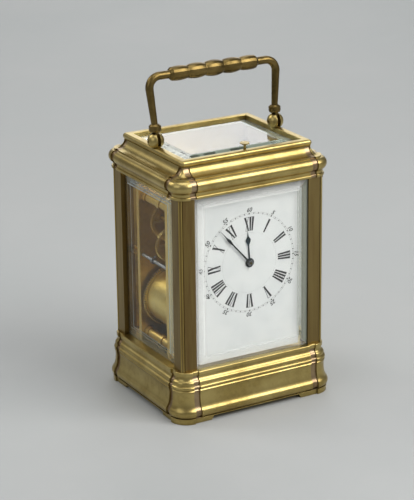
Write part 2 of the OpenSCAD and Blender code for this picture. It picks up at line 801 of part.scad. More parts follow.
// One arm of the handle at +X: tenon, collar, tapered stem, elbow and the spigot into the grip
module arm() {
    elbow_z = handle_rise - elbow_r;
    start = [knuckle_x + 0.1, collar_z + collar_h - 0.4];
    rise = (elbow_z - elbow_r * sin(arm_tilt) - start[1]) / cos(arm_tilt);
    bend = [start[0] + rise * sin(arm_tilt), start[1] + rise * cos(arm_tilt)];
    centre = [bend[0] - elbow_r * cos(arm_tilt), elbow_z];
    difference() {
        union() {
            translate([knuckle_x - tenon_w / 2, 0, 0])
                rotate([0, 90, 0]) cylinder(r = tenon_r, h = tenon_w, $fn = small_fn);
            translate([knuckle_x - tenon_w / 2, -tenon_r, 0]) cube([tenon_w, 2 * tenon_r, collar_z + 1]);
        }
        translate([knuckle_x - 5, 0, 0])
            rotate([0, 90, 0]) cylinder(r = pin_r + run_fit, h = 10, $fn = small_fn);
    }
    translate([knuckle_x, 0, collar_z])
        cylinder(r1 = collar_r - 0.5, r2 = collar_r, h = collar_edge, $fn = round_fn);
    translate([knuckle_x, 0, collar_z + collar_edge])
        cylinder(r = collar_r, h = collar_h - 2 * collar_edge, $fn = round_fn);
    translate([knuckle_x, 0, collar_z + collar_h - collar_edge])
        cylinder(r1 = collar_r, r2 = arm_r, h = collar_edge, $fn = round_fn);
    translate([start[0], 0, start[1]])
        rotate([0, arm_tilt, 0])
            cylinder(r1 = arm_r - arm_taper, r2 = arm_r - arm_step, h = rise + arm_lap, $fn = round_fn);
    translate([centre[0], 0, centre[1]])
        rotate([90, 0, 0])
            rotate([0, 0, -arm_tilt])
                rotate_extrude(angle = 90 + arm_tilt, $fn = round_fn)
                    translate([elbow_r, 0]) circle(arm_r, $fn = round_fn);
    translate([grip_len / 2, 0, handle_rise])
        rotate([0, 90, 0])
            cylinder(r = arm_r - arm_step, h = centre[0] - grip_len / 2 + arm_lap, $fn = round_fn);
    translate([grip_len / 2 - grip_socket, 0, handle_rise])
        rotate([0, 90, 0]) cylinder(r = socket_r, h = grip_socket + 1, $fn = small_fn);
}

module handle_arm_left() color([0.5, 0.42, 0.2]) leaning() mirror([1, 0, 0]) arm();
module handle_arm_right() color([0.5, 0.42, 0.2]) leaning() arm();

// A turned grip of rounded lobes, the middle one a little fuller than the rest
module handle_grip() {
    neck = lobe_r * neck_share;
    color([0.6, 0.5, 0.24])
    leaning()
        translate([0, 0, handle_rise])
            rotate([0, 90, 0])
                difference() {
                    rotate_extrude($fn = round_fn)
                        polygon(concat([[0, -grip_len / 2]],
                            [for (i = [0:lobes - 1], k = [0:8])
                                let (t = k / 8, full = lobe_r - lobe_fall * abs(i - (lobes - 1) / 2))
                                let (end = (i == 0 && k == 0) || (i == lobes - 1 && k == 8))
                                let (edge = end ? arm_r + 0.3 : neck)
                                [edge + (full - edge) * sqrt(sin(180 * t)),
                                    -grip_len / 2 + (i + t) * lobe_len]],
                            [[0, grip_len / 2]]));
                    for (s = sides)
                        translate([0, 0, s * (grip_len / 2 - grip_socket / 2 + 1) - grip_socket / 2 - 1])
                            cylinder(r = socket_r, h = grip_socket + 2, $fn = small_fn);
                }
}

// ---- Repeat button ----

module repeat_button() {
    color([0.66, 0.55, 0.28])
    translate([0, button_y, 0]) {
        translate([0, 0, button_bottom])
            cylinder(r = button_r, h = button_cap_z - button_bottom, $fn = small_fn);
        translate([0, 0, button_cap_z - eps]) cylinder(r1 = 1.1, r2 = button_cap_r, h = 0.8, $fn = round_fn);
        translate([0, 0, button_cap_z + 0.75]) cylinder(r = button_cap_r, h = 0.45, $fn = round_fn);
        translate([0, 0, button_bottom - button_foot_h])
            cylinder(r = button_foot_r, h = button_foot_h + 0.2, $fn = small_fn);
    }
}

// A steel leaf on the front plate that carries the button's lower end
module repeat_spring() {
    color([0.3, 0.32, 0.36]) {
        block(-2, 2, button_y - 1, front_plate_y - 0.31, leaf_z - leaf_t, leaf_z);
        block(-3, 3, front_plate_y - 2 * leaf_t, front_plate_y, plate_top - 5, leaf_z);
    }
}

// ---- Back door ----

module door_frame() {
    left = -pane_x + door_gap;
    color([0.62, 0.52, 0.26])
    difference() {
        union() {
            block(left, hinge_x, door_y - door_t / 2, door_y + door_t / 2, door_z0, door_z1);
            translate([hinge_x, door_y, door_z0])
                cylinder(r = door_t / 2, h = door_z1 - door_z0, $fn = round_fn);
        }
        block(left + door_rail, hinge_x + door_t / 2 - door_rail, door_y - 5, door_y + 5,
            door_z0 + door_rail, door_z1 - door_rail);
        block(left + door_rail - groove, hinge_x + door_t / 2 - door_rail + groove,
            door_y - glass_edge / 2 - glass_gap / 2, door_y + glass_edge / 2 + glass_gap / 2,
            door_z0 + door_rail - groove, door_z1 - door_rail + groove);
        for (z = [door_z0, door_z1 - 6])
            translate([hinge_x, door_y, z - 1]) cylinder(r = door_pin_r, h = 8, $fn = small_fn);
        translate([knob_x, door_y - 5, knob_z]) rotate([-90, 0, 0]) cylinder(r = 0.9, h = 10, $fn = small_fn);
    }
}

module door_glass() {
    left = -pane_x + door_gap + door_rail;
    right = hinge_x + door_t / 2 - door_rail;
    color([0.8, 0.9, 0.88, 0.3])
    translate([(left + right) / 2, door_y - glass_edge / 2, (door_z0 + door_z1) / 2])
        rotate([0, 0, 180])
            rotate([90, 0, 0])
                pane(right - left + 2 * (groove - glass_gap), door_z1 - door_z0 - 2 * door_rail
                    + 2 * (groove - glass_gap), glass_edge + 0.9);
}

module door_knob() {
    color([0.7, 0.58, 0.3])
    translate([knob_x, door_y + door_t / 2, knob_z])
        rotate([-90, 0, 0]) {
            translate([0, 0, -door_t]) cylinder(r = 0.9, h = door_t + 1, $fn = small_fn);
            cylinder(r = 1.6, h = 0.6, $fn = round_fn);
            cylinder(r = 1.0, h = 2.6, $fn = small_fn);
            rotate_extrude($fn = round_fn)
                polygon(concat([[0, 2.2]], [[1, 2.2]], arc([0.7, 3.8], 1.5, -60, 60, 8), [[0, 5.4]]));
        }
}

module door_pivots() {
    color([0.5, 0.5, 0.52])
    for (z = [door_z0 - door_pin_out + 0.1, door_z1 - 5])
        translate([hinge_x, door_y, z]) cylinder(r = door_pin_r, h = door_pin_out + 4.9, $fn = small_fn);
}

// ---- Dial and hands ----

module dial_plate() {
    color([0.96, 0.96, 0.94])
    difference() {
        block(-dial_w / 2, dial_w / 2, dial_y, dial_y + dial_t, dial_z - dial_h / 2, dial_z + dial_h / 2);
        rod_y(centre_at, hour_pipe_r + 0.4, [dial_y - 1, dial_y + dial_t + 1]);
    }
}

// Four copper feet that carry the dial on the front plate
module dial_feet() {
    color([0.72, 0.45, 0.3])
    for (x = [-dial_post_x, dial_post_x], z = dial_post_z) {
        rod_y([x, z], 1.2, [dial_y + dial_t, front_plate_y]);
        rod_y([x, z], 0.9, [front_plate_y - 1, front_plate_y + plate_t + 0.8]);
    }
}

// A pointer that runs from a round boss to a spade tip at angle a, clockwise from twelve
module hand2d(long, spade_at, boss, a, hole) {
    rotate(-a)
        difference() {
            union() {
                circle(boss, $fn = small_fn);
                polygon([[-0.45, 0], [0.45, 0], [0.3, spade_at], [-0.3, spade_at]]);
                polygon([[0, spade_at - 2.6], [1.1, spade_at - 0.4], [1.25, spade_at + 0.3],
                    [0.7, spade_at + 1.6],
                    [0, long], [-0.7, spade_at + 1.6], [-1.25, spade_at + 0.3], [-1.1, spade_at - 0.4]]);
            }
            circle(hole, $fn = small_fn);
        }
}

module hour_hand() {
    color([0.1, 0.16, 0.24])
    across([hour_hand_y, hour_hand_y + hand_t])
        translate(centre_at) hand2d(hour_len, hour_len * 0.76, 2.5, hour_at, hour_pipe_r + 0.01);
}

module minute_hand() {
    color([0.1, 0.16, 0.24])
    across([minute_hand_y, minute_hand_y + hand_t])
        translate(centre_at) hand2d(minute_len, minute_len * 0.74, 2.0, minute_at, cannon_r);
}

module hand_boss() {
    color([0.45, 0.45, 0.48])
    difference() {
        rod_y(centre_at, 1.7, [minute_hand_y - 0.5, minute_hand_y]);
        rod_y(centre_at, 0.6, [minute_hand_y - 1, minute_hand_y + 1]);
    }
}

// ---- Movement frame ----

function all_arbors() = [inter_at, centre_at, third_at, contrate_at, strike2_at, pin_at, warn_at, fly_at];

module plate(y, holes) {
    difference() {
        across([y, y + plate_t])
            difference() {
                translate([-plate_w / 2, z_floor]) square([plate_w, plate_h]);
                for (p = holes) translate([p[0], p[1]]) circle(p[2] + run_fit, $fn = small_fn);
                for (x = [-post_x, post_x], z = post_z) translate([x, z]) circle(post_bore_r, $fn = small_fn);
            }
    }
}

function holes_for(list, r) = [for (p = list) [p[0], p[1], r]];

module front_plate() {
    holes = concat(
        holes_for([for (p = all_arbors()) if (p != centre_at) p], pivot_r),
        [[centre_at[0], centre_at[1], 0.9]],
        holes_for([going_at, strike_at], 1.9),
        [[hammer_at[0], hammer_at[1], hammer_pivot_r + 0.05]],
        [[rack_at[0], rack_at[1], rack_stud_r - run_fit]],
        [[minute_wheel_at[0], minute_wheel_at[1], 0.7 - run_fit]],
        [for (s = sides) [s * click_at[0], click_at[1], click_pin_r]],
        [for (x = [-dial_post_x, dial_post_x], z = dial_post_z) [x, z, 0.9 - run_fit]]);
    color([0.72, 0.58, 0.28]) plate(front_plate_y, holes);
}

module back_plate() {
    holes = concat(
        holes_for([for (p = all_arbors()) if (p != centre_at) p], pivot_r),
        [[centre_at[0], centre_at[1], 0.9]],
        holes_for([going_at, strike_at], 1.9),
        [[hammer_at[0], hammer_at[1], hammer_arbor_r]],
        [[gong_block_x, gong_block_z, 1.2 - run_fit]]);
    color([0.72, 0.58, 0.28]) plate(inner_back, holes);
}

module plate_pillars() {
    color([0.75, 0.5, 0.26])
    for (x = [-post_x, post_x], z = post_z)
        difference() {
            union() {
                rod_y([x, z], post_r - 0.6, [inner_front, inner_back]);
                for (y = [inner_front, inner_back - 3, -2])
                    rod_y([x, z], post_r, [y, y + 3]);
            }
            rod_y([x, z], post_screw_r, [inner_front - 1, inner_front + 5]);
            rod_y([x, z], post_screw_r, [inner_back - 5, inner_back + 1]);
            if (z < dial_z)
                for (y = [-foot_screw_y, foot_screw_y])
                    translate([x, y, z_floor - 1]) cylinder(r = post_screw_r, h = 4.2, $fn = small_fn);
        }
}

// Slotted screws that hold the plates to their pillars and the movement to the base plate
module movement_screws() {
    color([0.2, 0.26, 0.4]) {
        for (x = [-post_x, post_x], z = post_z) {
            slotted_y([x, z], front_plate_y - plate_screw_h, 1);
            slotted_y([x, z], back_plate_y + plate_screw_h, -1);
        }
        for (x = [-post_x, post_x], y = [-foot_screw_y, foot_screw_y])
            translate([x, y, z_plate - screw_head_h]) {
                cylinder(r = foot_screw_head_r, h = screw_head_h, $fn = small_fn);
                cylinder(r = post_screw_r, h = screw_head_h + base_plate_t + 3, $fn = small_fn);
            }
    }
}

module slotted_y(at, y, way) {
    stem = plate_screw_h + plate_t + plate_screw_reach;
    slot = plate_screw_slot;
    difference() {
        union() {
            rod_y(at, plate_screw_r, way > 0 ? [y, y + plate_screw_h] : [y - plate_screw_h, y]);
            rod_y(at, post_screw_r, way > 0 ? [y + 1, y + stem] : [y - stem, y - 1]);
        }
        across(way > 0 ? [y - 1, y + slot] : [y - slot, y + 1])
            translate([at[0] - 3, at[1] - slot / 2]) square([6, slot]);
    }
}

module platform_plate() {
    color([0.8, 0.78, 0.7])
    difference() {
        block(-platform_w / 2, platform_w / 2, front_plate_y, back_plate_y, plate_top, z_platform);
        translate([escape_at[0], escape_at[1], plate_top - 1]) cylinder(r = 2.2, h = 5, $fn = small_fn);
        translate([lever_at[0], lever_at[1], plate_top - 1])
            cylinder(r = 0.25 + run_fit, h = 5, $fn = small_fn);
        translate([balance_at[0], balance_at[1], plate_top - 1])
            cylinder(r = 0.3 + run_fit, h = 5, $fn = small_fn);
        translate([balance_at[0] - cock_len, balance_at[1], plate_top - 1])
            cylinder(r = 1, h = 5, $fn = small_fn);
    }
}

// ---- Going and striking trains ----

// A mainspring drum with its great wheel at the back
module barrel(at, phase) {
    difference() {
        union() {
            across(great_y) translate(at) gear2d(barrel_n, barrel_m, phase);
            rod_y(at, drum_r, drum_y, round_fn);
        }
        rod_y(at, drum_r - 0.9, [drum_y[0] + 1, drum_y[1] - 0.6], round_fn);
        rod_y(at, 2.2 + run_fit, [drum_y[0] - 1, great_y[1] + 1]);
    }
}

// A winding arbor with a square at the back and its ratchet wheel in front of the front plate
module winding_arbor(at) {
    rod_y(at, 2.2, [drum_y[0] - 1.5, great_y[1] + 1.5]);
    rod_y(at, 1.9, [front_plate_y - 2.4, back_plate_y + 0.4]);
    across([back_plate_y + 0.3, back_plate_y + 9])
        translate(at) square(2.5, center = true);
    across(ratchet_y)
        translate(at)
            polygon([for (i = [0:ratchet_n - 1], k = [[0, ratchet_r - 1], [0.15, ratchet_r]])
                let (a = (i + k[0]) * 360 / ratchet_n) [k[1] * cos(a), k[1] * sin(a)]]);
}

module going_barrel() color([0.78, 0.66, 0.3]) barrel(going_at, 0);
module strike_barrel() color([0.78, 0.66, 0.3]) barrel(strike_at, 0);
module going_arbor() color([0.5, 0.5, 0.52]) winding_arbor(going_at);
module strike_arbor() color([0.5, 0.5, 0.52]) winding_arbor(strike_at);

// A pawl that drops into the ratchet wheel at its top outer corner
module click(s) {
    nose = step(going_at, ratchet_r - 0.15, click_nose_angle);
    color([0.5, 0.5, 0.52]) {
        across([ratchet_y[0], ratchet_y[1]])
            mirror([s < 0 ? 1 : 0, 0]) {
                translate(click_at) circle(click_r, $fn = small_fn);
                polygon([[click_at[0] - 1.6, click_at[1] - 0.8], [click_at[0] + 1.5, click_at[1] - 1],
                    nose + [0.25, 0.2], nose + [-0.1, 0.25]]);
            }
        mirror([s < 0 ? 1 : 0, 0, 0])
            rod_y(click_at, click_pin_r, [ratchet_y[0] - 0.6, front_plate_y + plate_t]);
    }
}

module click_left() click(-1);
module click_right() click(1);

// A wheel and its pinion on one arbor
module train_wheel(at, n, m, y, spokes, pin_n, pin_m, phase, pin_span) {
    arbor(at);
    across(y) translate(at) wheel2d(n, m, 0, spokes);
    across(pin_span) translate(at) pinion2d(pin_n, pin_m, phase);
}

module intermediate_wheel() {
    color([0.8, 0.66, 0.3])
    train_wheel(inter_at, inter_n, barrel_m, inter_y, 5, barrel_pinion_n, barrel_m, inter_phase,
        [great_y[0] - 0.4, great_y[1] + 0.4]);
}

module centre_wheel() {
    color([0.8, 0.66, 0.3]) {
        rod_y(centre_at, 1.1, [inner_front + 0.2, inner_back - 0.2]);
        rod_y(centre_at, 0.9, [front_plate_y - 0.3, back_plate_y + 0.3]);
        across([back_plate_y + 0.2, back_plate_y + 6]) translate(centre_at) square(1.2, center = true);
        rod_y(centre_at, 0.6, [minute_hand_y - 0.9, front_plate_y]);
        across(centre_y) translate(centre_at) wheel2d(centre_n, second_m, 0, 4, 2.6);
        across([inter_y[0] - 0.3, inter_y[1] + 0.3])
            translate(centre_at) pinion2d(centre_pinion_n, barrel_m, centre_phase);
        across([minute_y[0] - 0.2, minute_y[1] + 0.2])
            translate(centre_at) pinion2d(cannon_n, cannon_m, 0);
        rod_y(centre_at, cannon_r, [minute_hand_y, minute_y[0]]);
    }
}

module third_wheel() {
    color([0.8, 0.66, 0.3])
    train_wheel(third_at, third_n, third_m, third_y, 4, leaf_n, second_m, third_phase,
        [centre_y[0] - 0.5, centre_y[1] + 0.5]);
}

// A wheel whose teeth stand parallel to its arbor, to drive the upright escape pinion
module contrate_wheel() {
    color([0.8, 0.66, 0.3]) {
        arbor(contrate_at);
        across([third_y[0] - 0.5, third_y[1] + 0.5])
            translate(contrate_at) pinion2d(leaf_n, third_m, contrate_phase);
        across(contrate_y)
            translate(contrate_at)
                difference() {
                    circle(contrate_r + 0.4, $fn = round_fn);
                    difference() {
                        circle(contrate_r - 0.9, $fn = round_fn);
                        circle(1.9, $fn = small_fn);
                        for (i = [0:3]) rotate(90 * i + 45) translate([0, -0.45]) square([contrate_r, 0.9]);
                    }
                }
        across([contrate_y[1] - eps, contrate_y[1] + crown_h])
            translate(contrate_at)
                for (i = [0:contrate_n - 1])
                    rotate(90 + (i + 0.5) * 360 / contrate_n)
                        translate([contrate_r - 0.4, -0.14]) square([0.8, 0.28]);
    }
}

module strike_second_wheel() {
    color([0.8, 0.66, 0.3])
    train_wheel(strike2_at, strike2_n, second_m, inter_y, 5, barrel_pinion_n, barrel_m, strike2_phase,
        [great_y[0] - 0.4, great_y[1] + 0.4]);
}

// The wheel whose pins lift the hammer
module pin_wheel() {
    color([0.8, 0.66, 0.3]) {
        train_wheel(pin_at, pin_n, third_m, pin_y, 4, leaf_n, second_m, pin_phase,
            [inter_y[0] - 0.4, inter_y[1] + 0.4]);
        for (i = [0:7])
            rod_y(step(pin_at, pin_n * third_m / 2 - 1.1, i * 45 + 12), 0.35,
                [pin_y[1] - 0.1, pin_y[1] + 2.2]);
    }
}

module warning_wheel() {
    color([0.8, 0.66, 0.3])
    train_wheel(warn_at, warn_n, third_m, warn_y, 4, leaf_n, third_m, warn_phase,
        [pin_y[0] - 0.4, pin_y[1] + 0.4]);
}

// A light two-bladed air brake
module fly() {
    color([0.82, 0.7, 0.36]) {
        arbor(fly_at, 0.7);
        across([warn_y[0] - 0.4, warn_y[1] + 0.4]) translate(fly_at) pinion2d(leaf_n, third_m, fly_phase);
        across(fly_y) translate(fly_at) rotate(30) square([12.4, 0.5], center = true);
    }
}

// ---- Motion work and striking work under the dial ----

module minute_wheel() {
    color([0.8, 0.66, 0.3])
    difference() {
        union() {
            across(minute_y) translate(minute_wheel_at) gear2d(minute_n, cannon_m, minute_phase);
            across([hour_y[0] - 0.3, minute_y[0] + 0.1])
                translate(minute_wheel_at) pinion2d(minute_pinion_n, hour_m, 0);
        }
        rod_y(minute_wheel_at, 0.7 + run_fit, [hour_y[0] - 2, front_plate_y + 1]);
    }
}

// The hour wheel with its pipe through the dial and the stepped snail in front of it
module hour_wheel() {
    color([0.8, 0.66, 0.3])
    difference() {
        union() {
            across(hour_y) translate(centre_at) gear2d(hour_n, hour_m, hour_phase);
            across(snail_y)
                translate(centre_at)
                    polygon([for (i = [0:11], k = [0:4])
                        let (a = (i + k / 4) * 30, q = 3.2 + 0.32 * i) [q * cos(a), q * sin(a)]]);
            rod_y(centre_at, hour_pipe_r, [hour_hand_y - 0.15, snail_y[1]]);
        }
        rod_y(centre_at, cannon_r + run_fit, [hour_hand_y - 2, minute_y[0] + 2]);
    }
}

// The toothed rack that counts the blows, with a tail that falls on the snail
module rack() {
    color([0.55, 0.55, 0.58]) {
        across(snail_y)
            difference() {
                union() {
                    translate(rack_at) circle(2.2, $fn = small_fn);
                    polygon([rack_at + [-1, -1.2], rack_at + [1, -1.4], [-8.4, hands_z - 0.9],
                        [-8, hands_z + 0.6], rack_at + [0, 1.4]]);
                    polygon([rack_at + [-1.2, 0], rack_at + [1.2, 0], rack_at + [0.6, rack_arm],
                        rack_at + [-0.6, rack_arm]]);
                    translate(rack_at)
                        polygon(concat([for (i = [0:rack_teeth - 1], k = [[0, rack_root], [0.2, rack_r]])
                            let (a = rack_from + (i + k[0]) * rack_step) [k[1] * cos(a), k[1] * sin(a)]],
                            arc([0, 0], rack_inner, 180 - rack_from, rack_from, 8)));
                }
                translate(rack_at) circle(rack_stud_r + run_fit, $fn = small_fn);
            }
    }
}

// ---- Striking ----

// A steel arbor across both plates with a tail to the pin wheel and a gilt head behind the back plate
module hammer() {
    color([0.78, 0.62, 0.26]) {
        rod_y(hammer_at, hammer_arbor_r, [inner_front + 0.2, hammer_back]);
        rod_y(hammer_at, hammer_pivot_r, [front_plate_y + 0.2, inner_front + 0.3]);
        across(hammer_tail_y)
            translate(hammer_at) {
                circle(1.7, $fn = small_fn);
                rotate(60) translate([0, -0.5]) square([hammer_tail, 1]);
            }
        rod_y(hammer_at, hammer_boss_r, [hammer_back - hammer_boss_h, hammer_back]);
        across([hammer_back - 2.2, hammer_back - 0.8])
            translate(hammer_at)
                rotate(bearing(hammer_at, head_at))
                    translate([0, -0.6]) square([dist(hammer_at, head_at), 1.2]);
        rod_y(head_at, head_r, [gong_y - 2.4, hammer_back + 0.2], round_fn);
    }
}

// A flat spiral of blued wire behind the back plate
module gong() {
    color([0.12, 0.18, 0.32])
    translate([gong_at[0], gong_y, gong_at[1]])
        rotate([90, 0, 0])
            spiral(gong_r, gong_pitch, gong_turns) circle(gong_wire, $fn = small_fn);
}

module gong_block() {
    color([0.78, 0.64, 0.3]) {
        rod_y([gong_block_x, gong_block_z], 1.2, [inner_back + 0.2, back_plate_y + 1]);
        block(-4.4, -0.02, back_plate_y, gong_y + 2, gong_block_z - 2.6, gong_block_z + 0.6);
    }
}

// ---- Platform escapement ----

module staff(at, z0, z1, r, pr) {
    translate([at[0], at[1], z0]) cylinder(r = r, h = z1 - z0, $fn = small_fn);
    translate([at[0], at[1], z0 - 1.2]) cylinder(r = pr, h = z1 - z0 + 2, $fn = small_fn);
}

module escape_wheel() {
    low = contrate_at[1] + contrate_r - 2.2;
    color([0.82, 0.7, 0.34]) {
        translate([escape_at[0], escape_at[1], low])
            cylinder(r = 0.5, h = z_escape + 2.2 - low, $fn = small_fn);
        translate([escape_at[0], escape_at[1], low + 0.6])
            linear_extrude(3.2)
                gear2d(escape_pinion_n, 2 * crown_r / escape_pinion_n, 90, 0.26, 0.14, 0.55, 1.2);
        translate([escape_at[0], escape_at[1], z_escape])
            linear_extrude(escape_t)
                difference() {
                    polygon([for (i = [0:escape_n - 1], k = [[0, escape_root], [0.18, escape_r],
                            [0.3, escape_r], [0.42, escape_root]])
                        let (a = (i + k[0]) * 360 / escape_n) [k[1] * cos(a), k[1] * sin(a)]]);
                    difference() {
                        circle(escape_rim, $fn = small_fn);
                        circle(escape_hub, $fn = small_fn);
                        for (i = [0:3]) rotate(90 * i) translate([0, -0.2]) square([escape_rim + 0.3, 0.4]);
                    }
                }
    }
}

module pallet_lever() {
    toward = bearing(lever_at, balance_at);
    long = dist(lever_at, balance_at) - 2.2;
    color([0.6, 0.62, 0.66]) {
        staff(lever_at, z_platform + 0.2, z_lever + 1.8, 0.45, 0.22);
        translate([lever_at[0], lever_at[1], z_lever])
            rotate([0, 0, toward])
                linear_extrude(lever_t) {
                    translate([0, -lever_w / 2]) square([long, lever_w]);
                    for (y = [-lever_w / 2 - 0.5, lever_w / 2])
                        translate([long - lever_w, y]) square([2 * lever_w, 0.5]);
                    for (s = sides)
                        rotate(s * pallet_angle) translate([0, -lever_w / 2]) square([pallet_reach, lever_w]);
                }
    }
}

// A cut bimetallic rim with its timing screws, on a staff with the roller below
module balance_wheel() {
    color([0.84, 0.72, 0.36]) {
        staff(balance_at, z_platform + 0.2, z_balance + 2.6, balance_staff_r, 0.28);
        translate([balance_at[0], balance_at[1], z_lever + 0.9]) cylinder(r = 1.5, h = 0.5, $fn = small_fn);
        translate([balance_at[0], balance_at[1], z_balance]) {
            linear_extrude(1)
                difference() {
                    circle(balance_r, $fn = round_fn);
                    difference() {
                        circle(balance_r - balance_rim, $fn = round_fn);
                        circle(1.2, $fn = small_fn);
                        translate([-balance_r, -0.5]) square([2 * balance_r, 1]);
                    }
                }
            for (i = [0:timing_screws - 1])
                rotate([0, 0, (i + 0.5) * 360 / timing_screws])
                    translate([balance_r - 0.1, 0, 0.5])
                        rotate([0, 90, 0]) cylinder(r = 0.42, h = 0.8, $fn = small_fn);
        }
    }
}

// The bridge over the balance, screwed to the platform beside it
module balance_cock() {
    z_cock = z_balance + cock_rise;
    color([0.82, 0.7, 0.36])
    difference() {
        union() {
            translate([balance_at[0] - cock_len - 2.2, balance_at[1] - 3, z_platform])
                cube([4, 6, z_cock - z_platform + cock_t]);
            translate([balance_at[0] - cock_len, balance_at[1] - 1.6, z_cock]) cube([cock_len, 3.2, cock_t]);
            translate([balance_at[0], balance_at[1], z_cock]) cylinder(r = 2.8, h = cock_t, $fn = round_fn);
            translate([balance_at[0] - spring_stud_x, balance_at[1], z_balance + spring_rise])
                cylinder(r = 0.35, h = cock_rise - spring_rise + 0.5, $fn = small_fn);
        }
        translate([balance_at[0], balance_at[1], z_cock - 1])
            cylinder(r = 0.28 + run_fit, h = 4, $fn = small_fn);
        translate([balance_at[0] - cock_len, balance_at[1], z_platform - 1])
            cylinder(r = 0.9, h = 20, $fn = small_fn);
    }
}

// A flat coil round the balance staff, with its collet
module hairspring() {
    color([0.15, 0.22, 0.4])
    translate([balance_at[0], balance_at[1], z_balance + spring_rise])
        rotate([0, 0, 90]) {
            spiral(spring_r, spring_pitch, spring_turns)
                translate([-spring_w / 2, 0]) square([spring_w, spring_h]);
            translate([-spring_w / 2, collet_r - 0.1, 0])
                cube([spring_w, spring_r - spring_turns * spring_pitch - collet_r + 0.2, spring_h]);
            difference() {
                cylinder(r = collet_r, h = spring_h, $fn = small_fn);
                translate([0, 0, -1]) cylinder(r = balance_staff_r + eps, h = 2, $fn = small_fn);
            }
        }
}

base_moulding();
base_plate();
pillar_front_left();
pillar_front_right();
pillar_back_left();
pillar_back_right();
cornice();
case_screws();
glass_front();
glass_left();
glass_right();
glass_top();
top_glass_clips();
knuckle_left();
knuckle_right();
handle_pins();
handle_arm_left();
handle_arm_right();
handle_grip();
repeat_button();
repeat_spring();
door_frame();
door_glass();
door_knob();
door_pivots();
dial_plate();
dial_feet();
hour_hand();
minute_hand();
hand_boss();
front_plate();
back_plate();
plate_pillars();
movement_screws();
platform_plate();
going_barrel();
going_arbor();
intermediate_wheel();
centre_wheel();
third_wheel();
contrate_wheel();
strike_barrel();
strike_arbor();
strike_second_wheel();
pin_wheel();
warning_wheel();
fly();
click_left();
click_right();
minute_wheel();
hour_wheel();
rack();
hammer();
gong();
gong_block();
escape_wheel();
pallet_lever();
balance_wheel();
balance_cock();
hairspring();
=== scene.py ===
import json
import math

import bmesh
import bpy
from mathutils import Matrix, Vector


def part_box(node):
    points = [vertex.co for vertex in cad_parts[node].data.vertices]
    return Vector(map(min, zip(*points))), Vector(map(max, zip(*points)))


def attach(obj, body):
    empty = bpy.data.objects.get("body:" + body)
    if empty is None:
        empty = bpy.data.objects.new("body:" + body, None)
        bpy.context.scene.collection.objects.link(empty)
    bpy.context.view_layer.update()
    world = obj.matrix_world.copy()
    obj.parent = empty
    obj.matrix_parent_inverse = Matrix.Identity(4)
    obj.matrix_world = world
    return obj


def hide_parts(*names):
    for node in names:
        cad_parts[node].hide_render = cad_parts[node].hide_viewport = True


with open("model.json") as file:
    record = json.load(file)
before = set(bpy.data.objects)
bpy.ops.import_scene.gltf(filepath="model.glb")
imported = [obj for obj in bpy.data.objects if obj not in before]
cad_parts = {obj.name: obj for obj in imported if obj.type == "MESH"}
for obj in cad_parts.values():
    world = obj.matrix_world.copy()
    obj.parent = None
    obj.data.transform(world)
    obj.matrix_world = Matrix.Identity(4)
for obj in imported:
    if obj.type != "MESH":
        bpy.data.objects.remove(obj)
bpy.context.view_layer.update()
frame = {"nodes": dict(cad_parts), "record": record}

MM = 0.001
NODES = frame["nodes"]


def limits(node):
    """Lowest and highest corner of a CAD node at rest, in millimetres."""
    lo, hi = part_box(node)
    return lo / MM, hi / MM


# ---- Sizes in millimetres: heights and places come from the CAD nodes ----

pillar_lo, pillar_hi = limits("pillar_back_right")
base_hi = limits("base_moulding")[1]
cornice_lo, cornice_hi = limits("cornice")
dial_lo, dial_hi = limits("dial_plate")
grip_lo, grip_hi = limits("handle_grip")

HALF_X = pillar_hi.x
HALF_Y = pillar_hi.y
PILLAR_W = pillar_hi.x - pillar_lo.x
CORNER_R = 5.0
STRIP_W = PILLAR_W - CORNER_R
STRIP_RECESS = 0.8

# Bracket feet: height, length past the strip, slant of the inner end, flare of the corner at the top,
# and how far they stand in from the lower torus
FOOT_H = 2.8
FOOT_LEN = 6.5
FOOT_SLANT = 1.8
FOOT_FLARE = 0.2
FOOT_IN = 1.0

# Base moulding, from the feet up: overhangs (OUT), radii (R) and heights (Z)
BASE_LIP_IN = 0.7
BASE_LIP_H = 0.4
TORUS_OUT = 5.5
BASE_TORUS_R = 3.1
TORUS_TURN = 38
COVE_OUT = 3.2
BEAD_OUT = 3.9
Z_TORUS = FOOT_H + 3.1
SHOULDER_H = 2
FLARE_R = 6.6
BEAD_TURN_R = 1.2
GROOVE_IN = 0.3
OVOLO_R = 1.9
OVOLO_RISE = 0.3
PLATE_LINE_OUT = 1.5
PLATE_LINE_H = 0.8
Z_COVE = Z_TORUS + 9.45
Z_BEAD = Z_COVE + 2.95
Z_GROOVE = Z_BEAD + 2.4
Z_OVOLO = Z_GROOVE + 0.7
Z_PLATE = base_hi.z
Z_FLOOR = pillar_lo.z
Z_ROOF = cornice_lo.z
BASE_WALL = 8.0

# Cornice, from the roof line up, and the half-round rim on it
CORNICE_OUT = 2.5
CORNICE_EDGE_R = 0.5
NECK_OUT = 1.77
NECK_H = 1.5
TORUS_R = 3.45
TORUS_IN = 0.5
COVE_R = 5.3
COVE_END = -4.62
Z_NECK = Z_ROOF + 1.6
Z_CTORUS = Z_NECK + 1.55 + TORUS_R
Z_FILLET = Z_CTORUS + TORUS_R
FILLET_OUT = 1.0
Z_CCOVE = Z_FILLET + 0.8
Z_TOP = cornice_hi.z
Z_RIM = Z_TOP - 3.35
RIM_IN = 3.85
RIM_W = 5.6
RIM_R = 1.65
RIM_FOOT = 0.3
RIM_LEDGE = 1.2
RIM_X = HALF_X - RIM_IN
RIM_Y = HALF_Y - RIM_IN
WELL_X = RIM_X - RIM_W + RIM_LEDGE
CORNICE_WALL = HALF_X - WELL_X
CAST_BEVEL = 0.08

